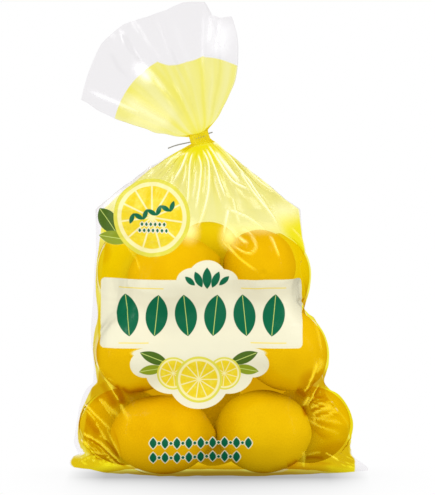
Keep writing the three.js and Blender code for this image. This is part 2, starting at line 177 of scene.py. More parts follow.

# Creases on the front: width, height, whiteness, then the points x, z that each runs through. Whiteness
# is partly milky film, partly painted highlight; a negative whiteness is painted shade over what is behind.
CREASES = (
    # long pleats from the neck, left to right
    (1, 1, 0.6, -34.7, 240.5, -42.9, 235.3, -51.1, 231.5, -54.1, 225.6),
    (0.9, 0.8, 0.5, -51.9, 231.5, -48.1, 226.3, -53.3, 224.1),
    (0.9, 0.9, 0.55, -26.5, 242, -32.5, 236, -41.4, 228.6),
    (1, 1, 0.5, -23.5, 240.5, -31, 236.8, -40.7, 231.5),
    (1.2, 1.3, 0.85, -22, 242, -25, 234.5, -28.7, 226.3, -33.1, 218.2),
    (1, 1.1, 0.75, -18.3, 241.2, -20.5, 233, -21.2, 221.9, -21.9, 208.6, -23.4, 201.2),
    (0.8, 0.8, 0.45, -23.5, 233.8, -24.2, 226.3, -25.7, 216.7),
    (1, 1.1, 0.8, -14.6, 239.7, -12.3, 230.8, -13, 219.7, -14.5, 208.6, -16, 196.8),
    (0.8, 0.8, 0.45, -16, 227.8, -16.8, 217.5, -19, 205.6),
    (1.1, 1.3, 0.85, -11.6, 244.2, -7.1, 233.8, -6.3, 221.9, -7.8, 207.1, -13, 189.5, -20.3, 176.3),
    (0.8, 0.8, 0.4, -9.3, 231.5, -9.3, 220.4, -10.8, 208.6),
    (1.1, 1.2, 0.85, -8.6, 244.2, -2.6, 230.8, 1.9, 217.5, 6.3, 206.4),
    (0.8, 0.8, 0.4, -2.6, 223.4, -0.4, 213, 3.3, 202.7),
    (1.1, 1.2, 0.85, -7.1, 247.2, -1.1, 236.8, 9.3, 221.9, 16.8, 216, 25.7, 211.5),
    (2.4, 1.6, 0.8, -2.6, 242.7, 4.9, 232.3, 10.8, 224.9, 17.5, 217.5),
    (1.1, 1.1, 0.85, -5.6, 250.2, 1.9, 244.2, 15.3, 229.3, 25.7, 216, 47.8, 183.6),
    (1.2, 1.2, 0.8, 16, 230.1, 21.2, 218.2, 30.8, 205.6, 40.4, 193.9, 47, 182.1),
    (0.9, 1, 0.6, -2.6, 250.2, 13.8, 238.2, 30.2, 220.4, 45, 208.6),
    (0.9, 0.8, 0.45, 10.8, 242.7, 24.2, 229.3, 39.1, 214.5, 53.9, 202.7),
    (1.4, 0.9, 0.4, 10.8, 208.6, 13.7, 196.8, 16.7, 186.5),
    # where they meet the fruit
    (2, 1.3, 0.9, 8.1, 199.5, 6.1, 189.2, 4.1, 174.8),
    (1.4, 1, 0.8, 8.1, 199.5, 24.4, 191.3, 38.7, 181),
    (1.5, 1.2, 0.9, 38.7, 180, 42.8, 170.7, 45.9, 163.5),
    (1.5, 1.3, 0.9, 6.1, 174.8, 16.3, 163.5, 30.6, 153.3),
    (1.3, 1, 0.8, 3.1, 175.9, 10.2, 168.6, 20.4, 160.4),
    (1.4, 1.1, 0.9, 15.3, 183.1, 21.4, 183.1, 26.5, 177.9, 28.5, 171.7, 25.5, 167.6, 20.4, 167.6,
     13.2, 171.7, 9.2, 176.9),
    (2.2, 1.2, 1, 15.3, 179, 19.3, 175.9, 22.4, 174.8),
    (1.2, 0.8, 0.5, -67.3, 170.7, -60.2, 162.5, -57.1, 153.3),
    # drawn across the lower left
    (4.5, 1.6, 0.45, -94.9, 66.3, -89.8, 60.4, -83.9, 54.5, -77.9, 49.3, -71.3, 43.4),
    (2.6, 1.5, 0.65, -84.6, 77.4, -79.4, 68.5, -74.3, 59.6, -69.8, 50.8, -63.9, 40.4),
    (8, -0.8, -0.8, -88.3, 70, -84.6, 64.1, -79.4, 57.4, -73.5, 48.5),
    (6, -0.6, -0.95, -77.2, 69.2, -73.5, 63.3, -71.3, 57.4, -70.6, 52.2),
    (5, -0.6, -0.9, -72.8, 67, -66.1, 63.3, -58.7, 64.8, -49.9, 66.3),
    (1.8, 1.2, 0.8, -100.9, 54.5, -93.5, 47.1, -86.1, 41.1, -77.2, 33.8),
    (1.6, 1, 0.7, -100.9, 50, -95.7, 45.6, -89.8, 38.9),
    (1.6, 1, 0.5, -89.8, 59.6, -83.1, 51.5, -76.5, 43.4),
    (10, -0.5, -0.75, -102.3, 44.8, -97.9, 40.4, -92, 34.5, -84.6, 27.8),
    (3, 1.2, 0.45, -91.2, 40.4, -86.8, 33.8, -82.4, 27.8, -79.4, 23.4),
    (2.6, 1.2, 0.8, -103.1, 31.5, -95.7, 28.6, -86.8, 24.1, -79.4, 17.5, -72.8, 10.1, -67.6, 5.7),
    (3, -0.5, -0.9, -83.1, 27.8, -80.9, 24.1, -76.5, 18.2, -72, 12.3),
    (2.5, -0.5, -0.9, -98.6, 27.8, -91.2, 24.1, -83.9, 19, -77.2, 12.3, -73.5, 7.9),
    (3.5, 1, 0.6, -102.3, 26.4, -98.6, 23.4, -94.2, 20.5),
    (1.8, 1, 0.7, -95.7, 17.5, -88.3, 16.8, -80.9, 15.3),
    (2.2, -0.4, -0.8, -98.6, 15.3, -89.8, 14.5, -80.9, 13.1),
    (2.2, -0.4, -0.8, -92.7, 11.6, -85.3, 11.6, -77.9, 10.1),
    (1.8, -0.3, -0.9, -104.5, 32.3, -102.3, 29.3, -99.4, 27.8),
    (1.6, 0.8, 0.7, -83.9, 14.5, -77.9, 10.8, -72.8, 6.4),
    (2.4, -0.4, -0.95, -77.9, 13.1, -72.8, 9.4, -67.6, 6.4),
    (1.4, 1, 0.3, -91.2, 86.2, -83.9, 77.4, -75, 70),
    # pinched beside the lower right lemon
    (5, 1.5, 0.45, 77.9, 89.2, 73.5, 80.3, 69.1, 71.5, 64.7, 62.6),
    (1.8, 1.2, 0.9, 73.5, 87, 69.8, 77.4, 65.4, 67, 62.4, 60.4),
    (2, 1.4, 0.95, 75.7, 69.2, 72, 63.3, 69.1, 57.4, 64.7, 52.2),
    (1.6, 1.2, 0.9, 67.6, 60.4, 65.4, 56.7, 63.2, 52.2),
    (3, -0.5, -0.9, 72.8, 74.4, 69.1, 67, 65.4, 60.4),
    (7, -0.5, -0.85, 58, 65.5, 63.2, 62.6, 66.9, 58.9),
    (5.5, -0.5, -0.85, 77.2, 67, 74.3, 62.6, 71.3, 57.4),
    (6, 0.8, 0.5, 75, 67, 81.6, 64.8, 89, 59.6),
    (1.6, 1.2, 0.9, 69.1, 50.8, 74.3, 53, 80.2, 53.7),
    (2, -0.4, -0.9, 66.9, 53.7, 72, 56.7, 77.9, 58.1, 84.6, 58.9),
    (2, -0.4, -0.9, 69.1, 48.5, 75, 50, 81.6, 52.2),
    (2.4, 1.2, 0.8, 69.8, 45.6, 77.9, 49.3, 88.3, 50.8),
    (3, -0.5, -0.6, 71.3, 53, 78.7, 55.2, 89, 56.7),
    (3, -0.8, -0.95, 63.9, 53.7, 65.4, 49.3, 66.9, 44.8),
    (3.5, 1, 0.5, 69.8, 41.9, 79.4, 44.1, 93.5, 47.1),
    (6.5, -0.4, -0.3, 69.1, 36, 77.2, 36.7, 87.6, 38.2),
    (2.6, 1.3, 0.7, 63.9, 19.7, 63.9, 12.3, 63.9, 4.9),
    (6, -0.4, -0.9, 51.4, 7.9, 56.5, 9.4, 61, 13.1),
    (3.5, -0.5, -0.95, 65.4, 12.3, 72.8, 13.1, 83.1, 11.6),
    (1.6, 1, 0.8, 80.2, 16.8, 86.1, 13.1, 92, 9.4),
    (1.6, 0.9, 0.6, 66.9, 16, 74.3, 16.8, 81.6, 16),
    (4, -0.4, -0.7, 66.9, 7.9, 77.2, 8.6, 90.5, 7.1),
    # at the right edge of the middle and upper lemons
    (1.4, 0.9, 0.4, 69.4, 121.7, 74.5, 107.4, 77.6, 91.1),
    (1.3, 0.8, 0.4, 61.2, 164.5, 66.3, 148.2, 71.4, 129.9),
    (1.2, 0.8, 0.4, 54.9, 185.1, 63.1, 174.8, 67.4, 158.4),
)
# Patches of painted shade, a browner tint over what is seen through the film, in front and behind:
# middle x, z, half width, half height, and how much it shades.
PAINTED_SHADE_PATCHES = (
    (73, 70, 13, 12, 0.5), (-90, 66, 14, 14, 0.5), (-88, 40, 18, 22, 0.2), (-103, 42, 8, 30, 0.5),
    (-95, 108, 8, 50, 0.4), (98, 42, 9, 26, 0.12), (92, 14, 22, 12, 0.4), (-100, 13, 20, 12, 0.3),
    (64, 5, 24, 6, 0.5), (0, 0, 92, 5, 0.85), (-86, 166, 7, 9, 0.3),
)
# Where the front film is painted paler, partly as milky haze and partly as painted sheen for soft
# highlights: middle x, z, half width, half height, and how milky it is.
HAZE_AND_SHEEN = (
    (-72, 206, 16, 9, 0.4), (50, 194, 12, 12, 0.35), (30, 185, 26, 5, 0.45), (-21, 183, 8, 10, 0.95),
    (9, 179, 8, 10, 0.9),
)
# Gleams in the fan: angle about the neck, half width, nearest and farthest from the neck, whiteness.
FAN_STREAKS = (
    (76, 2.4, 62, 88, 0.35), (80, 1.2, 60, 94, 0.45), (84.5, 2.4, 66, 98, 0.35), (78, 8, 60, 92, 0.3),
    (88, 1.0, 50, 98, 0.2), (131, 4, 52, 76, 0.95), (127, 2, 40, 64, 0.4),
    (157, 1.4, 44, 92, 0.45), (152, 8, 20, 66, 0.3), (165, 5, 24, 60, 0.25), (110, 1, 60, 98, 0.08),
)
# Fine folds that fan out from a pinch, with painted highlights on them and painted shade between
# them: its x, z, the first and last angle in degrees, how many folds, and how far they reach.
FANS = (
    (63, 47.5, -60, 62, 7, 40), (-70, 5.6, 95, 178, 8, 46), (-104, 30, -55, 15, 6, 28),
    (113, 3, 100, 180, 7, 34), (-112, 5, 0, 60, 6, 30),
)
# Bands of painted shade on the back film between the layers of fruit, where it hangs free: height, half
# height, and how much they shade.
BACK_PAINTED_SHADE = ((62, 26, 1.3), (122, 16, 1.0), (6, 9, 0.6))
# Creases fan out from the two bottom corners, as corner x, z, and the far ends of its creases.
CORNERS = (
    (-112, 5, ((-84, 30), (-80, 12), (-79, 20), (-88, 40), (-76, 4))),
    (113, 3, ((88, 30), (82, 20), (80, 12), (94, 36), (78, 4))),
)

# ---------------------------------------------------------------------------------------------
# Printed front, in millimetres of the x, z plane, and the clear strips beside the folds
# ---------------------------------------------------------------------------------------------

TINT_REACH = 65                         # how far above the neck the tint goes
TINT_NOTCH_X, TINT_NOTCH_HALF_WIDTH, TINT_NOTCH_DEPTH = -28, 17, 8
TINT_STEP = 4.5                         # how much lower it ends to the right of the notch
CLEAR_STRIP_LEFT = 5.5
CLEAR_STRIP_RIGHT = 1
CLEAR_FOOT_Z = 12.0                     # the left strip is clear from this height up to the neck
CLEAR_CORNER = (103.0, 14.0)            # the right corner is clear beyond this x, below this height
PRINT_EDGE = 0.4                        # how softly the print ends
PANEL_MIDDLE = (-12.2, 122.2)
PANEL_HALF = (75.2, 25.4)
PANEL_CORNER = 3.5
# Rounded parts of the panel's outline, as middle x, z, half width, half height.
CREST = ((-7.7, 146.2, 15.3, 15.8), (-18.4, 146.2, 12.2, 10.2), (4.1, 146.2, 11.2, 9.2))
LOBE = (
    (-13.8, 93.2, 50, 7.1), (-13.8, 72.3, 22.4, 20.9), (-34.7, 78.4, 18.4, 15.8), (8.2, 78.4, 18.4, 15.8),
    (-53.1, 85, 11.7, 10.2), (26.5, 85, 11.7, 10.2),
)
ROUNDEL = (-48.9, 192.9, 28.8)          # middle x, z, radius
# Thin rules on the panel: both ends' x, and z.
RULES = ((-73.5, -39.8, 141.1), (17.3, 51.0, 141.1), (-73.5, -51.0, 100.8), (24.5, 51.0, 100.8))
RULE_HALF_HEIGHT = 0.4
LEAF_RIB = (0.42, 0.50, 0.12)
# milky creases and painted gleams where the film is clear
CLEAR_FILM_MILK_AND_HIGHLIGHT = (0.84, 0.84, 0.86)
RUBBED_WIRE = (0.24, 0.23, 0.19)

PICTURE_ROWS = 495                      # height of the picture in pixels

# ---------------------------------------------------------------------------------------------
# Settings
# ---------------------------------------------------------------------------------------------

def colour_property(name, description, default):
    return FloatVectorProperty(
        name=name, description=description, subtype="COLOR", size=3, min=0, max=1, default=default)


class FruitSettings(bpy.types.PropertyGroup):
    peel: colour_property("Peel", "Main colour of the ripe peel", (0.56, 0.322, 0.002))
    peel_deep: colour_property("Deep peel", "Colour of the deeper patches", (0.51, 0.278, 0.0015))
    peel_pale: colour_property("Pale peel", "Colour towards the drawn-out tip", (0.565, 0.405, 0.0045))
    pore_depth: FloatProperty(
        name="Pore depth", description="Depth of the pores in the peel",
        default=0.16 * MM, min=0, unit="LENGTH")
    meridians: IntProperty(name="Meridians", description="Divisions around each lemon", default=88, min=12)
    parallels: IntProperty(name="Parallels", description="Divisions along each lemon", default=66, min=8)


class FilmSettings(bpy.types.PropertyGroup):
    tint: colour_property("Tint", "What one layer of the tinted film lets through", (0.975, 0.952, 0.60))
    deep: colour_property("Deep tint", "What doubled film lets through", (0.955, 0.895, 0.09))
    # painted shade: this browner tint darkens what is seen through the film in gaps, folds and at the foot
    shade: colour_property(
        "Shaded folds", "What the film lets through where it is bunched up", (0.64, 0.35, 0.01))
    clear: colour_property(
        "Clear film", "What one layer of untinted film lets through", (0.958, 0.949, 0.956))
    # the creases' milky colours are partly creased film and partly painted highlight
    crease_low: colour_property("Low creases", "Milky creases over the fruit", (0.92, 0.70, 0.02))
    crease_high: colour_property("High creases", "Milky creases near the neck", (0.86, 0.84, 0.58))
    gathered: colour_property("Gathered film", "Film bunched up at the neck", (0.54, 0.43, 0.002))
    roughness: FloatProperty(
        name="Roughness", description="Roughness of the film's gloss", default=0.2, min=0, max=1)
    gloss_face: FloatProperty(
        name="Gloss facing", description="Share of light the film mirrors straight on", default=0.045)
    gloss_edge: FloatProperty(
        name="Gloss at edges", description="Share of light it mirrors at a grazing angle", default=0.13)
    front_columns: IntProperty(
        name="Front columns", description="Divisions across the front", default=256, min=16)
    back_columns: IntProperty(
        name="Back columns", description="Divisions across the back", default=136, min=16)
    body_step: FloatProperty(
        name="Body step", description="Spacing of the rows up the body", default=1.35 * MM, unit="LENGTH")
    tent_rows: IntProperty(
        name="Tent rows", description="Rows from the shoulders to the neck", default=44, min=4)
    fan_rows: IntProperty(name="Fan rows", description="Rows from the neck to the mouth", default=46, min=4)


class PrintSettings(bpy.types.PropertyGroup):
    cream: colour_property("Cream", "Panel colour", (0.575, 0.55, 0.405))
    green: colour_property("Green", "Main motif colour", (0.001, 0.096, 0.040))
    gold: colour_property("Gold", "Rules", (0.62, 0.50, 0.10))
    rind: colour_property("Rind", "Outer ring of the citrus wheels", (0.51, 0.47, 0.045))
    pith: colour_property("Pith", "Pale ring and walls of the citrus wheels", (0.62, 0.57, 0.27))
    flesh: colour_property("Flesh", "Segments of the citrus wheels", (0.58, 0.43, 0.004))
    flesh_pale: colour_property("Pale flesh", "Grain of the segments", (0.60, 0.50, 0.03))
    leaf: colour_property("Leaf", "Light leaves", (0.18, 0.23, 0.008))
    leaf_dark: colour_property("Dark leaf", "Dark leaves", (0.05, 0.10, 0.008))


class TieSettings(bpy.types.PropertyGroup):
    colour: colour_property("Colour", "Coating of the wire", (0.16, 0.155, 0.12))
    turn_steps: IntProperty(
        name="Turn steps", description="Points in the turn round the neck", default=48, min=12)


class StageSettings(bpy.types.PropertyGroup):
    distance: FloatProperty(
        name="Camera distance", description="From the camera to the middle of the bag",
        default=3.5, unit="LENGTH")
    elevation: FloatProperty(
        name="Camera elevation", description="Height of the camera above level",
        default=2.2 * RAD, subtype="ANGLE")
    aim_height: FloatProperty(
        name="Aim height", description="Height the camera points at", default=0.1695, unit="LENGTH")
    pixel: FloatProperty(
        name="Scale", description="Width that one picture pixel covers at the bag's middle plane",
        default=0.75 * MM, unit="LENGTH")


class BagSettings(bpy.types.PropertyGroup):
    fruit: PointerProperty(type=FruitSettings)
    film: PointerProperty(type=FilmSettings)
    print: PointerProperty(type=PrintSettings)
    tie: PointerProperty(type=TieSettings)
    stage: PointerProperty(type=StageSettings)


# ---------------------------------------------------------------------------------------------
# Shader graphs
# ---------------------------------------------------------------------------------------------

class Value:
    """A shader socket that carries a number, with Python's own operators."""

    def __init__(self, graph, socket):
        self.graph = graph
        self.socket = socket

    def math(self, operation, *others, clamp=False):
        return self.graph.math(operation, self, *others, clamp=clamp)

    def __add__(self, other):
        return self.math("ADD", other)

    def __radd__(self, other):
        return self.graph.math("ADD", other, self)

    def __sub__(self, other):
        return self.math("SUBTRACT", other)

    def __rsub__(self, other):
        return self.graph.math("SUBTRACT", other, self)

    def __mul__(self, other):
        return self.math("MULTIPLY", other)

    def __rmul__(self, other):
        return self.graph.math("MULTIPLY", other, self)

    def __truediv__(self, other):
        return self.math("DIVIDE", other)

    def __rtruediv__(self, other):
        return self.graph.math("DIVIDE", other, self)

    def __pow__(self, other):
        return self.math("POWER", other)

    def __neg__(self):
        return self.math("MULTIPLY", -1.0)

    def __abs__(self):
        return self.math("ABSOLUTE")

    def minimum(self, other):
        return self.math("MINIMUM", other)

    def maximum(self, other):
        return self.math("MAXIMUM", other)

    def sqrt(self):
        return self.math("SQRT")

    def fraction(self):
        return self.math("FRACT")

    def clamped(self):
        return self.math("MULTIPLY", 1.0, clamp=True)

    def inside(self, soft):
        """1 where this distance is negative, 0 where it is positive, with an edge soft wide."""
        return self.graph.math("MULTIPLY_ADD", self, -1.0 / soft, 0.5, clamp=True)


class Graph:
    """Builds the nodes of one material."""

    def __init__(self, name):
        self.material = bpy.data.materials.new(name)
        self.material.use_nodes = True
        self.tree = self.material.node_tree
        self.tree.nodes.clear()

    def add(self, kind, settings=None, inputs=None):
        node = self.tree.nodes.new(kind)
        for key, value in (settings or {}).items():
            setattr(node, key, value)
        for key, value in (inputs or {}).items():
            socket = node.inputs[key]
            if isinstance(value, Value):
                self.tree.links.new(value.socket, socket)
            elif isinstance(value, bpy.types.NodeSocket):
                self.tree.links.new(value, socket)
            else:
                socket.default_value = value
        return node

    def math(self, operation, *values, clamp=False):
        settings = {"operation": operation, "use_clamp": clamp}
        node = self.add("ShaderNodeMath", settings, dict(enumerate(values)))
        return Value(self, node.outputs[0])

    def mix(self, factor, first, second):
        """Colour that goes from first to second as factor goes from 0 to 1."""
        inputs = {0: factor, 6: with_alpha(first), 7: with_alpha(second)}
        return self.add("ShaderNodeMix", {"data_type": "RGBA"}, inputs).outputs[2]

    def xyz(self, vector):
        node = self.add("ShaderNodeSeparateXYZ", None, {0: vector})
        return [Value(self, node.outputs[k]) for k in range(3)]

    def object_coordinates(self):
        return self.add("ShaderNodeTexCoord").outputs["Object"]

    def uv(self, name):
        return self.add("ShaderNodeUVMap", {"uv_map": name}).outputs[0]

    def noise(self, vector, scale, detail=3.0, roughness=0.5):
        inputs = {"Vector": vector, "Scale": scale, "Detail": detail, "Roughness": roughness}
        return Value(self, self.add("ShaderNodeTexNoise", None, inputs).outputs[0])

    def bump(self, height, distance, strength):
        inputs = {"Strength": strength, "Distance": distance, "Height": height}
        return self.add("ShaderNodeBump", None, inputs).outputs[0]

    def mix_shader(self, factor, first, second):
        return self.add("ShaderNodeMixShader", None, {0: factor, 1: first, 2: second}).outputs[0]

    def finish(self, shader):
        self.add("ShaderNodeOutputMaterial", None, {"Surface": shader})
        return self.material


def with_alpha(colour):
    return colour if isinstance(colour, bpy.types.NodeSocket) else (*colour, 1.0)


# ---------------------------------------------------------------------------------------------
# Small mesh helpers
# ---------------------------------------------------------------------------------------------

def new_object(name, mesh, material):
    mesh.materials.append(material)
    piece = bpy.data.objects.new(name, mesh)
    bpy.context.scene.collection.objects.link(piece)
    return piece


def smooth_shaded(mesh):
    mesh.polygons.foreach_set("use_smooth", np.ones(len(mesh.polygons), dtype=bool))
    mesh.update()


def waves(points, wavelength, seed, count=28):
    """Smooth random unevenness of about the given wavelength, from plane waves; mostly within 2."""
    rng = np.random.default_rng(seed)
    direction = rng.normal(size=(count, 3))
    direction /= np.linalg.norm(direction, axis=1, keepdims=True)
    turns = direction * rng.uniform(0.6, 1.5, (count, 1)) / wavelength
    phase = rng.uniform(0, TAU, count)
    return np.cos(points @ turns.T * TAU + phase).sum(axis=-1) * math.sqrt(2 / count)


def smoothstep(low, high, x):
    t = np.clip((x - low) / (high - low), 0, 1)
    return t * t * (3 - 2 * t)


def blurred(values, sigma, axis):
    """Gaussian blur of a grid along one axis; the last axis wraps round."""
    reach = int(math.ceil(2.5 * sigma))
    weights = np.exp(-0.5 * (np.arange(-reach, reach + 1) / sigma) ** 2)
    weights /= weights.sum()
    mode = "wrap" if axis == values.ndim - 1 else "edge"
    widths = [(reach, reach) if k == axis else (0, 0) for k in range(values.ndim)]
    padded = np.pad(values, widths, mode=mode)
    size = values.shape[axis]
    return sum(w * np.take(padded, range(k, k + size), axis=axis) for k, w in enumerate(weights))


# ---------------------------------------------------------------------------------------------
# Where the film lies
# ---------------------------------------------------------------------------------------------

def lemon_axes():
    heading, rise = LEMONS[:, 5] * RAD, LEMONS[:, 6] * RAD
    return np.stack([np.cos(heading) * np.cos(rise), np.sin(heading) * np.cos(rise), np.sin(rise)], axis=1)


def slices_at(z):
    """Level slices of the lemons at each height of z: middle x, y, and the matrix xx, xy, yy, which
    is zero where a lemon isn't cut."""
    axis = lemon_axes()
    around = (LEMONS[:, 3] / 2 + FILM_STANDOFF) ** 2
    stretch = (LEMONS[:, 4] / 2 * LEMON_FULLNESS + FILM_STANDOFF) ** 2 - around
    zz = around + stretch * axis[:, 2] ** 2
    lean = stretch * axis[:, 2] / zz
    dz = np.asarray(z)[:, None] - LEMONS[None, :, 2]
    left = np.clip(1 - dz ** 2 / zz, 0, None)
    flat = stretch - lean ** 2 * zz
    return (
        LEMONS[:, 0] + lean * axis[:, 0] * dz,
        LEMONS[:, 1] + lean * axis[:, 1] * dz,
        left * (around + flat * axis[:, 0] ** 2),
        left * flat * axis[:, 0] * axis[:, 1],
        left * (around + flat * axis[:, 1] ** 2),
    )


def bridged_profiles(directions, heights):
    """How far the fruit reaches in each level direction at each height, with the hollows between
    lemons closed by a curve of BRIDGE_RADIUS."""
    x, y, xx, xy, yy = (part[:, :, None] for part in slices_at(heights))
    nx, ny = directions[:, 0], directions[:, 1]
    reach = x * nx + y * ny + np.sqrt(xx * nx ** 2 + 2 * xy * nx * ny + yy * ny ** 2)
    reach = np.where(xx > 0, reach, -1e6).max(axis=1)
    drop = (heights[:, None] - heights[None, :]) ** 2 / (2 * BRIDGE_RADIUS)
    raised = np.stack([(reach - d[:, None]).max(axis=0) for d in drop])
    return np.stack([(raised + d[:, None]).min(axis=0) for d in drop])


def ray_through(z, middle_x, dx, dy):
    """Where rays from (middle_x, 0) last leave the slices, as a grid of heights by directions."""
    x, y, xx, xy, yy = (part[:, None, :] for part in slices_at(z))
    area = xx * yy - xy ** 2
    cut = area > 1e-6
    area = np.where(cut, area, 1)
    ox, oy = middle_x[:, None, None] - x, -y
    dx, dy = dx[:, :, None], dy[:, :, None]

    def form(ax, ay, bx, by):
        return (yy * ax * bx - xy * (ax * by + ay * bx) + xx * ay * by) / area

    a, b = form(dx, dy, dx, dy), form(ox, oy, dx, dy)
    inside = b * b - a * (form(ox, oy, ox, oy) - 1)
    hit = cut & (inside > 0)
    leave = (np.sqrt(np.where(hit, inside, 0)) - b) / np.where(cut, a, 1)
    return np.where(hit, leave, 0).max(axis=2)


def tent_depth(z):
    return NECK_HALF_DEPTH + TENT_SLOPE * (NECK[2] - z)


def neck_point(across, y, up):
    cos, sin = math.cos(NECK_TILT), math.sin(NECK_TILT)
    return np.array([NECK[0] + across * cos - up * sin, y, NECK[2] + across * sin + up * cos])


def film_columns(settings):
    """Turn of each column of the film, from the weld up the middle of the back, round by the right
    fold, the front and the left fold."""
    quarter = settings.back_columns // 2
    right = np.linspace(-math.pi / 2, 0, quarter, endpoint=False)
    front = np.linspace(0, math.pi, settings.front_columns, endpoint=False)
    left = np.linspace(math.pi, 1.5 * math.pi, quarter + 1)
    turn = np.concatenate([right, front, left])
    return turn + COLUMN_CROWDING * np.sin(2 * turn)


class Film:
    """The film's surface as grids of rows by columns."""

    def __init__(self, settings):
        self.settings = settings
        self.turn = film_columns(settings)
        directions = np.linspace(0, TAU, OUTLINE_DIRECTIONS, endpoint=False)
        self.directions = np.stack([np.cos(directions), np.sin(directions)], axis=1)
        body, body_length, free = self.body()
        parts = ((body, body_length), self.tent(), self.neck(), self.fan())
        self.points = np.concatenate([points for points, _ in parts])
        self.length = np.concatenate([length for _, length in parts])
        self.normals = self.find_normals(self.points)
        self.free = np.pad(free, ((0, len(self.points) - len(free)), (0, 0)))
        self.creases, self.white, self.shade = crease_fields(self)

    def row_plane(self, left, right, depth, core, fruit):
        """Level outlines of the film: the rows' middles, tilts, and spokes with their reach."""
        middle = (left + right) / 2
        half = np.linalg.norm(right - left, axis=1) / 2
        tilt = np.arctan2(right[:, 2] - left[:, 2], right[:, 0] - left[:, 0])
        nx, ny = self.directions[:, 0], self.directions[:, 1]
        reaches = np.maximum(
            half[:, None] * abs(nx),
            np.hypot(core[:, None] * half[:, None] * nx, depth[:, None] * ny) * (depth[:, None] > 0))
        if fruit is not None:
            reaches = np.maximum(reaches, fruit - middle[:, :1] * nx)
        deepest = reaches[:, abs(ny) > 0.99].max(axis=1)
        dx = half[:, None] * np.cos(self.turn)
        dy = -deepest[:, None] * np.sin(self.turn)
        size = np.hypot(dx, dy)
        dx, dy = dx / size, dy / size
        reach = np.empty_like(dx)
        for k in range(len(dx)):
            facing = dx[k][:, None] * nx + dy[k][:, None] * ny
            ahead = facing > 0.05
            reach[k] = np.where(ahead, reaches[k] / np.where(ahead, facing, 1), 1e6).min(axis=1)
        return middle, tilt, dx, dy, reach

    @staticmethod
    def plane_points(middle, tilt, dx, dy, reach):
        across = reach * dx
        return np.stack([
            middle[:, :1] + across * np.cos(tilt)[:, None],
            reach * dy,
            middle[:, 2:] + across * np.sin(tilt)[:, None],
        ], axis=2)

    def body(self):
        """Points and lengths of the rows up to the shoulders, and where the film hangs free."""
        step = self.settings.body_step / MM
        z = np.concatenate([FOOT_ROWS, np.arange(FIRST_BODY_ROW, SHOULDER_Z - step / 2, step)])
        left_points, right_points = np.array(LEFT_FOLD), np.array(RIGHT_FOLD)
        left = np.stack([-np.interp(z, *left_points.T), 0 * z, z], axis=1)
        right = np.stack([np.interp(z, *right_points.T), 0 * z, z], axis=1)
        tent_share = smoothstep(TENT_FROM_Z, TENT_FROM_Z + TENT_BLEND, z)
        depth = np.where(z > TENT_FROM_Z, tent_depth(z) * tent_share, 0)
        heights = np.arange(-PROFILE_MARGIN, SHOULDER_Z + PROFILE_MARGIN, PROFILE_STEP)
        profiles = bridged_profiles(self.directions, heights)
        at = (np.maximum(z, BASE_FILLET) - heights[0]) / PROFILE_STEP
        low = at.astype(int)
        share = (at - low)[:, None]
        fruit = profiles[low] * (1 - share) + profiles[low + 1] * share
        core = np.full(len(z), TENT_CORE)
        middle, tilt, dx, dy, reach = self.row_plane(left, right, depth, core, fruit)
        gap = np.maximum(reach - ray_through(z, middle[:, 0], dx, dy) - FILM_STANDOFF, 0)
        held = 1 - smoothstep(SAG_FADE_Z, SHOULDER_Z, z)
        deepest = SAG_DEPTH + FOOT_SAG * (1 - smoothstep(*FOOT_SAG_FADE, z))
        sag = (held * deepest)[:, None] * (1 - np.exp(-gap / SAG_GAP))
        sag = blurred(blurred(sag, SAG_BLUR[0], 0), SAG_BLUR[1], 1)
        sag = sag * (1 - self.pinned(left, right, fruit))
        points = self.plane_points(middle, tilt, dx, dy, reach - np.minimum(sag, gap))
        return points, z, smoothstep(*FREE_GAP, blurred(blurred(gap, FREE_BLUR, 0), FREE_BLUR, 1))

    def pinned(self, left, right, fruit):
        """Where a fold stands out past the fruit, it keeps its place."""
        stand_right = right[:, 0] - fruit[:, 0]
        stand_left = -left[:, 0] - fruit[:, len(self.directions) // 2]
        stand = np.where(np.cos(self.turn) > 0, stand_right[:, None], stand_left[:, None])
        return smoothstep(-2, 1, stand) * np.maximum(0, 1 - 1.6 * abs(np.sin(self.turn)))

    def tent(self):
        """Points and lengths of the rows from the shoulders to the neck."""
        t = np.arange(self.settings.tent_rows) / self.settings.tent_rows
        left, right = (
            (1 - t[:, None]) * np.array([shoulder, 0, SHOULDER_Z])
            + t[:, None] * neck_point(across, 0, -NECK_HALF_LENGTH)
            for shoulder, across in ((SHOULDER_LEFT, -NECK_HALF_WIDTH), (SHOULDER_RIGHT, NECK_HALF_WIDTH)))
        left[:, 2] += TENT_LEFT_BULGE * np.sin(math.pi * t)
        depth = (1 - t) * tent_depth(SHOULDER_Z) + t * NECK_HALF_DEPTH
        core = TENT_CORE + (1 - TENT_CORE) * t ** 2
        points = self.plane_points(*self.row_plane(left, right, depth, core, None))
        return points, SHOULDER_Z + (NECK[2] - NECK_HALF_LENGTH - SHOULDER_Z) * t

    def neck(self):
        """Points and lengths of the rows of the neck."""
        up = np.linspace(-NECK_HALF_LENGTH, NECK_HALF_LENGTH, NECK_ROWS)
        left = np.array([neck_point(-NECK_HALF_WIDTH, 0, u) for u in up])
        right = np.array([neck_point(NECK_HALF_WIDTH, 0, u) for u in up])
        depth = np.full(len(up), float(NECK_HALF_DEPTH))
        points = self.plane_points(*self.row_plane(left, right, depth, np.ones(len(up)), None))
        return points, NECK[2] + up

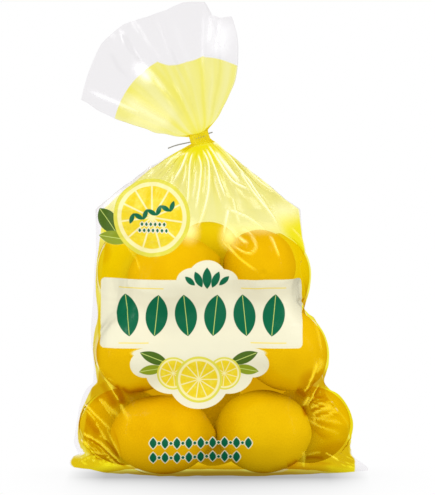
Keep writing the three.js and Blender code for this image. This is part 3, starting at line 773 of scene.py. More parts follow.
    def fan(self):
        """Points and lengths of the rows from the neck to the mouth."""
        rows = self.settings.fan_rows
        t = (np.arange(1, rows + 1) / rows)[:, None] ** FAN_ROW_POWER
        right = (FAN_RIGHT[0] + (FAN_RIGHT[1] - FAN_RIGHT[0]) * t) * RAD
        left = (FAN_LEFT[0] + (FAN_LEFT[1] - FAN_LEFT[0]) * t) * RAD
        middle, half = (left + right) / 2, (left - right) / 2
        side, deep = np.cos(self.turn), np.sin(self.turn)
        off = -half * side
        angle = FAN_RIGHT[1] + (FAN_LEFT[1] - FAN_RIGHT[1]) * (1 - side) / 2
        mouth = np.interp(angle, *np.array(MOUTH).T)
        radius = FAN_START + (mouth - FAN_START) * t
        flat = 1 - smoothstep(0, 0.25, t)
        outward = radius * (np.cos(off) * (1 - flat) + np.cos(half) * flat)
        sideways = radius * np.sin(off)
        y = self.fan_folds(side, t) * (0.35 + 0.65 * (1 - side ** 2))
        thick = FAN_HALF_DEPTH[0] + (FAN_HALF_DEPTH[1] - FAN_HALF_DEPTH[0]) * smoothstep(0, 0.4, t)
        y = y - deep * thick - np.sign(deep) * FAN_EDGE * smoothstep(0, 0.2, t)
        y = y + self.layer_folds(side, t) * deep
        points = np.stack([
            NECK[0] + outward * np.cos(middle) - sideways * np.sin(middle),
            y,
            NECK[2] + outward * np.sin(middle) + sideways * np.cos(middle),
        ], axis=2)
        return points, NECK[2] + radius.mean(axis=1)

    @staticmethod
    def fan_folds(side, t):
        """Folds that both layers of the fan share, most of them towards the right."""
        broad = 5 * np.sin(1.1 * math.pi * side + 0.4) + 2.6 * np.sin(3.5 * math.pi * side + 1.9)
        tight = 1.1 * np.sin(7 * math.pi * side + 0.2)
        return (broad + tight) * t

    @staticmethod
    def layer_folds(side, t):
        """Pleats that differ between the front and the back layer."""
        rightward = 0.45 + 0.55 * smoothstep(-0.5, 0.6, side)
        pleats = 0.9 * np.sin(17 * side + 1.0) + 0.7 * np.sin(29 * side + 2.2) + 0.5 * np.sin(43 * side)
        return pleats * rightward * smoothstep(0.0, 0.35, t) * (1.1 - 0.5 * t)

    @staticmethod
    def find_normals(points):
        down = np.gradient(points, axis=0)
        across = np.gradient(points, axis=1)
        across[:, 0] = across[:, -1] = points[:, 1] - points[:, -2]
        normals = np.cross(down, across)
        size = np.linalg.norm(normals, axis=2, keepdims=True)
        return normals / np.maximum(size, 1e-9)


def ridge(distance, width):
    """A crease's section: a crest with a slight hollow at each side."""
    s = (distance / width) ** 2
    return (1 - 0.6 * s) * np.exp(-s)


def smooth_run(points, steps=7):
    """Points along a smooth curve through the given ones."""
    padded = np.vstack([2 * points[0] - points[1], points, 2 * points[-1] - points[-2]])
    t = np.linspace(0, 1, steps, endpoint=False)[:, None]
    runs = []
    for a, b, c, d in zip(padded, padded[1:], padded[2:], padded[3:]):
        runs.append(b + 0.5 * t * (c - a + t * (2 * a - 5 * b + 4 * c - d + t * (3 * (b - c) + d - a))))
    return np.vstack([*runs, points[-1:]])


def distance_along(x, z, points):
    """Distance of each x, z from a run of points, and how far along the run the nearest place is."""
    nearest = np.full(x.shape, 1e6)
    place = np.zeros(x.shape)
    count = len(points) - 1
    for k, ((x0, z0), (x1, z1)) in enumerate(zip(points, points[1:])):
        dx, dz = x1 - x0, z1 - z0
        share = np.clip(((x - x0) * dx + (z - z0) * dz) / (dx * dx + dz * dz), 0, 1)
        away = np.hypot(x - x0 - share * dx, z - z0 - share * dz)
        closer = away < nearest
        nearest = np.where(closer, away, nearest)
        place = np.where(closer, (k + share) / count, place)
    return nearest, place


def crease_fields(film):
    """How far the creases stand out in millimetres, how white they are, as milky film and painted
    highlight, and how much painted shade lies between them. All but the corners' creases are on the front
    alone."""
    x, z = film.points[:, :, 0], film.points[:, :, 2]
    fields = [np.zeros(x.shape), np.zeros(x.shape), np.zeros(x.shape)]
    front = np.sin(film.turn) > 0
    add_creases(*fields, x, z, front)
    relief, white, shade = add_pinches(*fields, x, z, front)
    white = add_fan_streaks(white, x, z, front)
    add_corner_creases(relief, x, z)
    return relief, white, shade


def add_creases(relief, white, shade, x, z, front):
    """Draws the single creases into the three fields."""
    for width, height, whiteness, *run in CREASES:
        points = smooth_run(np.array(run, dtype=float).reshape(-1, 2))
        low, high = points.min(axis=0) - 6, points.max(axis=0) + 6
        near = front & (x > low[0]) & (x < high[0]) & (z > low[1]) & (z < high[1])
        away, place = distance_along(x[near], z[near], points)
        taper = smoothstep(0, 0.12, place) * (1 - smoothstep(0.75, 1, place))
        relief[near] += height * taper * ridge(away, width)
        crest = np.exp(-(away / (0.48 * width)) ** 2) * taper
        # a positive whiteness is a milky crest, partly painted highlight; a negative one is painted shade
        if whiteness > 0:
            white[near] = np.maximum(white[near], crest * whiteness)
        else:
            shade[near] = np.maximum(shade[near], -crest * whiteness)


def add_pinches(relief, white, shade, x, z, front):
    """The three fields with the fine folds that fan out from each pinch: their relief, painted highlights on
    their crests, and painted shade between them.
    """
    for middle_x, middle_z, first, last, count, reach in FANS:
        dx, dz = x - middle_x, z - middle_z
        away = np.hypot(dx, dz)
        share = ((np.arctan2(dz, dx) / RAD - first) % 360) / (last - first)
        wave = np.sin(TAU * count * share + 1.7 * np.sin(5 * share + away / 9) + 0.8 * np.sin(23 * share))
        taper = front * smoothstep(3, 13, away) * (1 - smoothstep(0.4 * reach, reach, away))
        taper = taper * smoothstep(0, 0.08, share) * (1 - smoothstep(0.92, 1, share))
        relief += 0.35 * taper * wave
        white = np.maximum(white, 0.5 * taper * np.maximum(wave, 0) ** 3)
        shade = np.maximum(shade, 0.45 * taper * np.maximum(-wave, 0))
    return relief, white, shade


def add_fan_streaks(white, x, z, front):
    """The whiteness with the gleams in the fan, which run out from the neck."""
    dx, dz = x - NECK[0], z - NECK[2]
    for angle, width, nearest, farthest, whiteness in FAN_STREAKS:
        along = dx * math.cos(angle * RAD) + dz * math.sin(angle * RAD)
        across = dz * math.cos(angle * RAD) - dx * math.sin(angle * RAD)
        taper = front * smoothstep(nearest, nearest + 10, along)
        taper = taper * (1 - smoothstep(farthest - 12, farthest, along))
        white = np.maximum(white, whiteness * taper * np.exp(-(across / width) ** 2))
    return white


def add_corner_creases(relief, x, z):
    """Adds low ridges that run out of the two bottom corners."""
    for corner_x, corner_z, ends in CORNERS:
        for end in ends:
            points = np.array([(corner_x, corner_z), end], dtype=float)
            away, place = distance_along(x, z, points)
            relief += 0.8 * smoothstep(0, 0.2, place) * (1 - smoothstep(0.6, 1, place)) * ridge(away, 1.2)


def pleat_field(film, pleats, wide):
    """Ridges that run down from the neck, in millimetres, each fading at its own height."""
    points, length = film.points, film.length[:, None]
    metric = np.linalg.norm(np.gradient(points, axis=1), axis=2) / np.gradient(film.turn)
    relief = np.zeros(points.shape[:2])
    for degrees, fade_z, height in pleats:
        wander = 0.02 * np.sin(length / 9 + degrees)
        away = (film.turn - degrees * RAD + math.pi) % TAU - math.pi + wander
        width = np.minimum(wide, 0.075 * metric)
        fade = smoothstep(fade_z - 6, fade_z + 34, length)
        relief += height * fade * ridge(away * metric, width)
    return relief


def film_relief(film):
    """How far each point of the film stands out from its smooth surface, in millimetres."""
    length = film.length[:, None]
    near_neck = 1 - 0.75 * np.exp(-((length - NECK[2]) / 14) ** 2)
    body = 1 - smoothstep(NECK[2] + 3, NECK[2] + 14, length)
    relief = pleat_field(film, SHORT_PLEATS + BACK_PLEATS, PLEAT_WIDTH) * near_neck * body
    gathers = 0.5 + 0.5 * np.cos(GATHERS * film.turn + 1.3 * np.sin(3 * film.turn))
    relief -= GATHER_DEPTH * gathers * np.exp(-((length - NECK[2]) / 13) ** 2)
    return relief + film.creases


def film_layering(film):
    """How much the film is doubled up and seen through several times, from 0 to 1."""
    points, length = film.points, film.length[:, None]
    x, z = abs(points[:, :, 0]), points[:, :, 2]
    above = length > NECK[2]
    facing = np.sin(film.turn) ** 2
    neck = np.exp(-(np.abs(length - NECK[2]) / np.where(above, 8, 17)) ** 1.5) * (0.3 + 0.7 * facing)
    pleated = np.clip(pleat_field(film, SHORT_PLEATS + BACK_PLEATS, 2 * PLEAT_WIDTH), 0, 1.2) * 0.3
    pleated = pleated * np.exp(-np.maximum(NECK[2] - length, 0) / 22) * facing
    streaks = above * np.clip(0.34 * np.cos(9 * film.turn + 0.7) * np.cos(4 * film.turn + 2.2), 0, 1)
    gathered = np.clip(np.cos(29 * film.turn + 2 * np.sin(4 * film.turn)) + 0.2, 0, 1)
    streaks = streaks + 0.6 * gathered * facing * ~above * np.exp(-np.maximum(NECK[2] - length, 0) / 24)
    ears = smoothstep(78, 96, x) * (1 - smoothstep(26, 44, z))
    folds = smoothstep(0.84, 0.97, abs(np.cos(film.turn))) * (1 - smoothstep(185, 200, z))
    foot = 1 - smoothstep(2, 9, z)
    # deeper tint in the creases' valleys: partly doubled film, partly painted shade
    valleys = np.clip(-2.2 * film.creases, 0, 0.8)
    loose = film.free * (1 - smoothstep(158, 192, z))
    tent = (0.06 + 0.14 * smoothstep(10, 50, points[:, :, 0])) * slackness(film) * ~above
    behind = (np.sin(film.turn) < 0) * (1 - smoothstep(80, 105, z))
    body = np.maximum.reduce([0.3 * ears, 0.9 * folds, 0.5 * foot, 0.9 * loose, 0.95 * behind, tent])
    return np.clip(1.4 * neck + pleated + streaks + valleys * (0.45 + 0.55 * (z < 190)) + body, 0, 1)


def patches(film, places, inner, outer):
    """Oval patches, each fading out between two multiples of its size; the strongest one counts."""
    strongest = 0
    for x, z, half_width, half_height, strength in places:
        dx, dz = film.points[:, :, 0] - x, film.points[:, :, 2] - z
        away = np.hypot(dx / half_width, dz / half_height)
        strongest = np.maximum(strongest, strength * (1 - smoothstep(inner, outer, away)))
    return strongest


def film_marks(film):
    """The film's marks, above 0 where a crease is milky, partly as creased film and partly as a painted
    highlight, and below 0 where painted shade darkens what is seen through the film.
    """
    # painted shade: the patches here, and the bands on the back film below
    bunched = patches(film, PAINTED_SHADE_PATCHES, 0.6, 1.2)
    haze_and_sheen = patches(film, HAZE_AND_SHEEN, 0, 1.3) * (np.sin(film.turn) > 0)
    white = np.maximum(film.white, haze_and_sheen)
    back = film.free * (np.sin(film.turn) < 0) * (1 - smoothstep(66, 80, abs(film.points[:, :, 0])))
    # painted shade in bands across the back film, only where it hangs free
    for z, half_height, strength in BACK_PAINTED_SHADE:
        shade_band = strength * back * np.exp(-((film.points[:, :, 2] - z) / half_height) ** 2)
        bunched = np.maximum(bunched, np.minimum(shade_band, 1))
    shade = np.maximum(film.shade, bunched)
    return np.where(white > shade, white, -shade)


def slackness(film):
    """0 where the fruit holds the film out and 1 where it hangs free, as in the tent and the fan."""
    return smoothstep(185, 215, film.length)[:, None]


def crinkle(film):
    """Slow unevenness of the film, in millimetres, strongest where no fruit presses it out."""
    stretched = film.points * np.array([1.0, 1.0, 0.45])
    neck = 1 - np.exp(-((film.length[:, None] - NECK[2]) / 16) ** 2)
    slack = (0.22 + 0.25 * slackness(film)) * neck
    return slack * (waves(stretched, 17, 1) + 0.2 * waves(stretched, 7, 2))


# ---------------------------------------------------------------------------------------------
# Materials
# ---------------------------------------------------------------------------------------------

def peel_material(settings):
    graph = Graph("lemon_peel")
    where = graph.object_coordinates()
    tone, along, _ = graph.xyz(graph.uv("peel"))
    patches = graph.noise(where, 38.0, 3.0)
    fine = graph.noise(where, 420.0, 2.0)
    tip = (along - 0.90).inside(0.16)
    deep = ((patches - 0.42) * 3.0).clamped()
    colour = graph.mix(deep, settings.peel, settings.peel_deep)
    colour = graph.mix((1 - tip) * 0.3 * (1 - tone) + tone, colour, settings.peel_pale)
    pores = graph.add("ShaderNodeTexVoronoi", {"feature": "F1"}, {"Vector": where, "Scale": 620.0})
    pit = (Value(graph, pores.outputs["Distance"]) - 0.42).inside(0.5)
    height = 1 - pit * 0.8 + fine * 0.5
    principled = graph.add("ShaderNodeBsdfPrincipled", None, {
        "Base Color": colour,
        "Roughness": 0.42 + 0.16 * fine,
        "IOR": 1.42,
        "Specular IOR Level": 0.0,
        "Normal": graph.bump(height, settings.pore_depth, 0.6),
    })
    return graph.finish(principled.outputs[0])


def box_distance(x, z, middle, half, corner):
    """Distance outside a rounded box."""
    dx = (abs(x - middle[0]) - (half[0] - corner)).maximum(0.0)
    dz = (abs(z - middle[1]) - (half[1] - corner)).maximum(0.0)
    return (dx * dx + dz * dz).sqrt() - corner


def ellipse_distance(x, z, middle_x, middle_z, half_width, half_height):
    """Roughly the distance outside an ellipse."""
    u, v = (x - middle_x) / half_width, (z - middle_z) / half_height
    return ((u * u + v * v).sqrt() - 1.0) * min(half_width, half_height)


def turned(x, z, middle_x, middle_z, degrees):
    """Coordinates about a middle, turned so that the first runs along the given angle."""
    cos, sin = math.cos(degrees * RAD), math.sin(degrees * RAD)
    dx, dz = x - middle_x, z - middle_z
    return dx * cos + dz * sin, dz * cos - dx * sin


def leaf_shape(x, z, middle_x, middle_z, degrees, half_length, half_width):
    """Distance outside a leaf between two arcs, and the distance from its midrib."""
    along, across = turned(x, z, middle_x, middle_z, degrees)
    radius = (half_length ** 2 + half_width ** 2) / (2 * half_width)
    up = across.math("ABSOLUTE") + (radius - half_width)
    return (along * along + up * up).sqrt() - radius, abs(across)


class Ink:
    """Opaque print laid on the film: a colour and how much of the film it covers."""

    def __init__(self, graph, x, z, settings):
        self.graph, self.x, self.z, self.settings = graph, x, z, settings
        self.colour = self.cover = None

    def paint(self, mask, colour, opaque=True):
        """Lays a colour over what is there. One that isn't opaque only colours what is covered."""
        if self.cover is None:
            self.cover, self.colour = mask, colour
            return
        self.colour = self.graph.mix(mask, self.colour, colour)
        if opaque:
            self.cover = self.cover.maximum(mask)

    def wheel(self, middle_x, middle_z, radius, segments, turn):
        """A citrus cut across: rind, pith and a ring of segments."""
        settings = self.settings
        x, z = self.x - middle_x, self.z - middle_z
        r = (x * x + z * z).sqrt()
        self.paint((r - radius).inside(PRINT_EDGE), settings.rind)
        self.paint((r - radius * 0.90).inside(PRINT_EDGE), settings.pith)
        angle = z.math("ARCTAN2", x) / TAU * segments + turn
        off_wall = (0.5 - abs(angle.fraction() - 0.5)) * r * (TAU / segments)
        rounded = (r - radius * 0.82).maximum(-off_wall).maximum(radius * 0.06 - r) + radius * 0.022
        grain = self.graph.noise(self.graph.uv("print"), 260.0, 3.0, 0.7)
        grain = ((grain - 0.45) * 4.0).clamped()
        segment = rounded.inside(0.5)
        flesh = self.graph.mix(grain, settings.flesh, settings.flesh_pale)
        self.paint(segment, flesh, opaque=False)

    def leaf(self, middle_x, middle_z, degrees, half_length, half_width, colour, rib=True):
        """A pointed leaf, with a pale line along its middle."""
        distance, off_rib = leaf_shape(self.x, self.z, middle_x, middle_z, degrees, half_length, half_width)
        self.paint(distance.inside(PRINT_EDGE), colour)
        if rib:
            line = (off_rib - 0.22).inside(0.3) * (distance + 0.6).inside(PRINT_EDGE)
            self.paint(line, LEAF_RIB, opaque=False)

    def row(self, x0, count, middle_z, pitch, half_width, half_height, colour):
        """A row of small upright pointed ovals with a cream edge."""
        along = (self.x - x0) / pitch
        u = abs(along.fraction() - 0.5) * pitch
        v = abs(self.z - middle_z)
        within = ((abs(along - count / 2) - count / 2) * pitch).inside(0.1)
        oval = (u / half_width + (v / half_height) ** 1.7 - 1.0) * half_width
        self.paint((oval - 0.9).inside(PRINT_EDGE) * within, self.settings.cream)
        self.paint(oval.inside(PRINT_EDGE) * within, colour, opaque=False)

    def block(self, x0, x1, z0, z1, colour, corner):
        """A bar with rounded corners."""
        middle = ((x0 + x1) / 2, (z0 + z1) / 2)
        half = ((x1 - x0) / 2, (z1 - z0) / 2)
        distance = box_distance(self.x, self.z, middle, half, corner)
        self.paint(distance.inside(PRINT_EDGE), colour)


def draw_front(ink):
    """The printed front: a cream panel with leaf and fruit motifs, a citrus roundel, and two rows
    of small leaves below."""
    settings = ink.settings
    x, z = ink.x, ink.z
    # the leaves and the roundel at the upper left
    ink.leaf(-81.7, 189.7, 125, 11.2, 6.9, settings.leaf_dark)
    ink.leaf(-77.4, 177.2, -8, 11.7, 5.1, settings.leaf)
    ink.wheel(*ROUNDEL, segments=11, turn=0.25)
    for k in range(7):
        ink.leaf(-63.9 + 5 * k, 191.8 + 1.6 * k, 20 + 50 * (-1) ** k, 4.3, 1.8, settings.green, rib=False)
    ink.row(-57.9, 6, 187.7, 3.3, 1.0, 1.5, settings.green)
    ink.row(-59.5, 7, 183.1, 3.3, 1.0, 1.5, settings.green)
    # the panel, with a crest above and a lobe below
    outline = box_distance(x, z, PANEL_MIDDLE, PANEL_HALF, PANEL_CORNER)
    edges = [ellipse_distance(x, z, *shape) for shape in CREST + LOBE]
    for edge in edges:
        outline = outline.minimum(edge)
    ink.paint(outline.inside(PRINT_EDGE), settings.cream)
    # thin gold rules
    for x0, x1, rule_z in RULES:
        ink.block(x0, x1, rule_z - RULE_HALF_HEIGHT, rule_z + RULE_HALF_HEIGHT, settings.gold, corner=0.2)
    # a row of six upright leaves across the panel
    for k in range(6):
        ink.leaf(-66.8 + 21.7 * k, 121.0, 90 + 6 * (-1) ** k, 15.5, 8.2, settings.green)
    # a spray of leaves in the crest
    for lean, size in ((-2, 5.0), (-1, 6.5), (0, 8.0), (1, 6.5), (2, 5.0)):
        middle_x, middle_z = -7.7 + 6.3 * lean, 148.7 - abs(lean)
        ink.leaf(middle_x, middle_z, 90 - 24 * lean, size, 0.42 * size, settings.green, rib=False)
    # three cut fruits in the lobe, between leaves
    ink.leaf(-46.9, 89.6, 158, 11.2, 4.3, settings.leaf_dark)
    ink.leaf(19.4, 89.6, 22, 11.2, 4.3, settings.leaf_dark)
    ink.leaf(-49, 80.9, 190, 9.2, 3.7, settings.leaf)
    ink.leaf(21.4, 80.9, -10, 9.2, 3.7, settings.leaf)
    ink.wheel(-32.7, 77.9, 12.2, 9, 0.1)
    ink.wheel(5.1, 77.9, 12.2, 9, 0.4)
    ink.wheel(-13.8, 73.3, 17.3, 11, 0.0)
    # two rows of small leaves
    for row_z, count in ((26.9, 9), (15.9, 8)):
        ink.row(-52.0, count, row_z, 8.8, 2.6, 4.1, settings.green)
        ink.row(-47.6, count - 1, row_z, 8.8, 1.2, 1.3, settings.green)


def tinted_part(x, edge, length):
    """Where the film is tinted: the tint stops short of the mouth, and of the folds."""
    waver = (1 - ((x - TINT_NOTCH_X) / TINT_NOTCH_HALF_WIDTH) ** 2).maximum(0.0) * TINT_NOTCH_DEPTH
    waver = waver + (TINT_NOTCH_X + 12.0 - x).inside(14.0) * TINT_STEP
    tinted = (length + waver - (NECK[2] + TINT_REACH)).inside(0.8)
    left_strip = (edge.maximum(-CLEAR_STRIP_LEFT - edge)).inside(1.0) * (CLEAR_FOOT_Z - length).inside(4.0)
    left_strip = left_strip * (length - (NECK[2] - 6.0)).inside(2.0)
    right_strip = (edge.maximum(-edge) - CLEAR_STRIP_RIGHT).inside(1.0)
    corner_x, corner_z = CLEAR_CORNER
    right_corner = (corner_x - x).inside(1.0) * (length - corner_z).inside(2.0)
    return tinted * (1 - left_strip.maximum(right_strip).maximum(right_corner))


def film_material(settings, print_settings):
    graph = Graph("tinted_film")
    x, z, _ = [value * 1000.0 for value in graph.xyz(graph.uv("print"))]
    edge, length, _ = [value * 1000.0 for value in graph.xyz(graph.uv("sheet"))]
    where = graph.object_coordinates()
    tinted = tinted_part(x, edge, length)
    # fine wrinkles that run up the film
    stretched = graph.add("ShaderNodeMapping", None, {"Vector": where, "Scale": (1.0, 1.0, 0.35)}).outputs[0]
    wrinkle = graph.noise(stretched, 160.0, 3.0, 0.55) + graph.noise(where, 45.0, 2.0) * 1.5
    normal = graph.bump(wrinkle, 0.0005, 0.4)
    gloss = graph.add("ShaderNodeBsdfGlossy", None, {
        "Color": (1.0, 1.0, 1.0, 1.0), "Roughness": settings.roughness, "Normal": normal}).outputs[0]
    clear, tint, deep, shade = (
        graph.add("ShaderNodeBsdfTransparent", None, {"Color": with_alpha(colour)}).outputs[0]
        for colour in (settings.clear, settings.tint, settings.deep, settings.shade))
    layering, mark, _ = graph.xyz(graph.uv("layers"))
    white, shaded = mark.maximum(0.0), (-mark).maximum(0.0)
    slack = ((length - 185.0) / 30.0).clamped()
    fanned = (length - NECK[2] - 4.0) / 10.0
    neck = ((1 - abs(length - NECK[2]) / 24.0) * 2.5).clamped()
    gleam = (0.06 + 0.94 * slack - 0.55 * fanned.clamped()) * (1 - 0.9 * neck)
    gleam = gleam.maximum(white * 0.8)
    # painted shade: where the marks are below 0 the shade tint is mixed into what the film lets through
    yellow = graph.mix_shader(shaded, graph.mix_shader(layering, tint, deep), shade)
    see_through = graph.mix_shader(tinted, clear, yellow)
    fresnel = Value(graph, graph.add("ShaderNodeFresnel", None, {"IOR": 1.5, "Normal": normal}).outputs[0])
    mirrored = (fresnel + (settings.gloss_face - 0.04)).minimum(settings.gloss_edge) * gleam
    film = graph.mix_shader(mirrored, see_through, gloss)
    ink = Ink(graph, x, z, print_settings)
    draw_front(ink)
    # a sharp crease turns milky, partly as creased film and partly as a painted highlight, and so does the
    # film gathered at the neck
    gathered = (abs(length - NECK[2]) - 4.0).inside(5.0)
    milk_and_highlight_cover = (white * (0.7 + 0.2 * slack)).maximum(gathered * 0.9)
    paler = ((length - 165.0) / 35.0).clamped()
    milk_and_highlight = graph.mix(paler, settings.crease_low, settings.crease_high)
    milk_and_highlight = graph.mix(
        (gathered * 5.0).clamped(), graph.mix(tinted, CLEAR_FILM_MILK_AND_HIGHLIGHT, milk_and_highlight), settings.gathered)
    printed = graph.add("ShaderNodeBsdfPrincipled", None, {
        "Base Color": graph.mix(ink.cover, milk_and_highlight, ink.colour),
        "Roughness": 0.3,
        "Specular IOR Level": 0.25,
        "Normal": normal,
    }).outputs[0]
    return graph.finish(graph.mix_shader(ink.cover.maximum(milk_and_highlight_cover), film, printed))


def wire_material(settings):
    graph = Graph("tie_coating")
    rub = graph.noise(graph.object_coordinates(), 900.0, 3.0)
    principled = graph.add("ShaderNodeBsdfPrincipled", None, {
        "Base Color": graph.mix(rub, settings.colour, RUBBED_WIRE),
        "Roughness": 0.35 + 0.25 * rub,
        "Normal": graph.bump(rub, 0.0001, 0.4),
    })
    return graph.finish(principled.outputs[0])


# ---------------------------------------------------------------------------------------------
# Operators
# ---------------------------------------------------------------------------------------------

def shape_lemon(unit, dia, length, seed):
    """Moves points of a unit sphere to a lemon's peel; the drawn-out tip is at +X."""
    polar = np.arccos(np.clip(unit[:, 0], -1, 1))
    around = np.arctan2(unit[:, 2], unit[:, 1])
    half = length / 2
    tip = np.exp(-(polar / 0.24) ** 2)
    stem = np.exp(-((math.pi - polar) / 0.26) ** 2)
    dimple = np.exp(-((math.pi - polar) / 0.07) ** 2)
    along = half * 0.92 * np.cos(polar) + half * 0.08 * tip - half * 0.035 * stem + dimple
    swell = 0.018 * waves(unit, 2.2, seed) + 0.004 * waves(unit, 0.7, seed + 50)
    ribs = 0.006 * np.cos(8 * around + seed) * np.exp(-((polar - 0.35) / 0.3) ** 2)
    radius = dia / 2 * np.sin(polar) ** 0.97 * (1 - 0.10 * tip) * (0.988 + np.minimum(swell, 0.012) + ribs)
    return np.stack([along, radius * np.cos(around), radius * np.sin(around)], axis=1)


class LEMONBAG_OT_fruit(bpy.types.Operator):
    """Make the lemons that fill the bag"""
    bl_idname = "lemon_bag.fruit"
    bl_label = "Lemons"

    def execute(self, context):
        settings = context.scene.lemon_bag.fruit
        bm = bmesh.new()
        bmesh.ops.create_uvsphere(
            bm, u_segments=settings.meridians, v_segments=settings.parallels, radius=1.0)
        bmesh.ops.rotate(bm, verts=bm.verts, cent=(0, 0, 0), matrix=Matrix.Rotation(math.pi / 2, 3, "Y"))
        mesh = bpy.data.meshes.new("lemons")
        bm.to_mesh(mesh)
        bm.clear()
        for _ in LEMONS:
            bm.from_mesh(mesh)
        bm.to_mesh(mesh)
        bm.free()
        points = np.empty(len(mesh.vertices) * 3)
        mesh.vertices.foreach_get("co", points)
        points = points.reshape(len(LEMONS), -1, 3)
        self.add_peel_map(mesh, points)
        for seed, (x, y, z, dia, length, heading, rise) in enumerate(LEMONS):
            turn = np.array(Euler((seed * 1.3, -rise * RAD, heading * RAD), "XYZ").to_matrix())
            points[seed] = shape_lemon(points[seed], dia, length, seed) @ turn.T + (x, y, z)
        mesh.vertices.foreach_set("co", (points * MM).ravel())
        smooth_shaded(mesh)
        lemons = new_object("lemons", mesh, peel_material(settings))
        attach(lemons, "root")
        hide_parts("bag")
        return {"FINISHED"}

    @staticmethod
    def add_peel_map(mesh, units):
        """A UV map that holds each lemon's tone and the place along it, from stem to tip."""
        corner = np.empty(len(mesh.loops), dtype=int)
        mesh.loops.foreach_get("vertex_index", corner)
        along = (1 + units[:, :, 0]).ravel() / 2
        number = corner // units.shape[1]
        peel = mesh.uv_layers.new(name="peel")
        peel.data.foreach_set("uv", np.stack([LEMON_TONES[number], along[corner]], 1).ravel())


class LEMONBAG_OT_film(bpy.types.Operator):
    """Make the tinted film bag with its printed front"""
    bl_idname = "lemon_bag.film"
    bl_label = "Film bag"

    def execute(self, context):
        settings = context.scene.lemon_bag.film
        film = Film(settings)
        relief = film_relief(film) + crinkle(film)
        points = film.points + film.normals * relief[:, :, None]
        points[:, :, 2] = np.maximum(points[:, :, 2], 0.0)
        points[:, -1] = points[:, 0]
        mesh = self.rolled_sheet(film, points * MM)
        bag = new_object("film_bag", mesh, film_material(settings, context.scene.lemon_bag.print))
        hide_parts("bag")
        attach(bag, "root")
        bag.visible_shadow = False
        bag.visible_diffuse = False
        return {"FINISHED"}

    def rolled_sheet(self, film, points):
        """A flat grid, moved to the film's points and welded up the middle of the back. It is open at
        the mouth, and also at the base."""
        rows, columns = points.shape[:2]
        bm = bmesh.new()
        bmesh.ops.create_grid(bm, x_segments=columns - 1, y_segments=rows - 1, size=0.5)
        mesh = bpy.data.meshes.new("film_bag")
        bm.to_mesh(mesh)
        flat = np.empty(len(mesh.vertices) * 3)
        mesh.vertices.foreach_get("co", flat)
        flat = flat.reshape(-1, 3)
        column = np.rint((flat[:, 0] + 0.5) * (columns - 1)).astype(int)
        row = np.rint((flat[:, 1] + 0.5) * (rows - 1)).astype(int)
        mesh.vertices.foreach_set("co", points[row, column].ravel())
        corner = np.empty(len(mesh.loops), dtype=int)
        mesh.loops.foreach_get("vertex_index", corner)
        place = row[corner], column[corner]
        self.add_map(mesh, "print", *self.print_places(film, *place))
        self.add_map(mesh, "sheet", *(field[place] for field in self.sheet_places(film)))
        self.add_map(mesh, "layers", film_layering(film)[place], film_marks(film)[place])
        bm.free()
        self.weld(mesh)
        smooth_shaded(mesh)
        return mesh

    @staticmethod
    def add_map(mesh, name, first, second):
        mesh.uv_layers.new(name=name).data.foreach_set("uv", np.stack([first, second], 1).ravel())

    @staticmethod
    def print_places(film, row, column):
        """The x and z of each face corner. The back, and all above the neck, lie out of the print's
        reach, because metres are added to their z."""
        front = np.sin(film.turn) > 1e-9
        front_face = np.repeat(front[column].reshape(-1, 4).any(axis=1), 4)
        across, height = (film.points * MM)[row, column][:, [0, 2]].T
        height = np.where(row < np.searchsorted(film.length, NECK[2] - 1), height, height + 1.0)
        return across, np.where(front_face, height, height + 2.0)

    @staticmethod
    def sheet_places(film):
        """How far each point lies from the nearer fold, below 0 for the left one, and how far up the
        film it lies, measured from the neck's middle above the neck."""
        smooth_points = film.points * MM
        rows, columns = smooth_points.shape[:2]
        steps = np.linalg.norm(np.diff(smooth_points, axis=1), axis=2)
        round_ring = np.concatenate([np.zeros((rows, 1)), np.cumsum(steps, axis=1)], axis=1)
        right_fold = round_ring[:, [np.argmin(abs(film.turn))]]
        left_fold = round_ring[:, [np.argmin(abs(film.turn - math.pi))]]
        scale = SHEET_MAP_GIRTH * MM / round_ring[:, -1:]
        from_right, from_left = (scale * abs(round_ring - fold) for fold in (right_fold, left_fold))
        edge = np.where(from_right < from_left, from_right, -from_left)
        length = np.repeat(film.length[:, None] * MM, columns, axis=1)
        above = film.length > NECK[2] + NECK_HALF_LENGTH
        length[above] = NECK[2] * MM + np.linalg.norm(
            smooth_points[above] - np.array(NECK) * MM, axis=2)
        return edge, length

    @staticmethod
    def weld(mesh):
        """Joins the two side edges, and turns the faces outwards. Recalculating the normals of an open
        skin can turn them inwards, which the sign of its volume shows."""
        bm = bmesh.new()
        bm.from_mesh(mesh)
        bmesh.ops.remove_doubles(bm, verts=bm.verts, dist=WELD_DISTANCE * MM)
        bmesh.ops.recalc_face_normals(bm, faces=bm.faces)
        if bm.calc_volume(signed=True) < 0:
            bmesh.ops.reverse_faces(bm, faces=bm.faces)
        bm.to_mesh(mesh)
        bm.free()


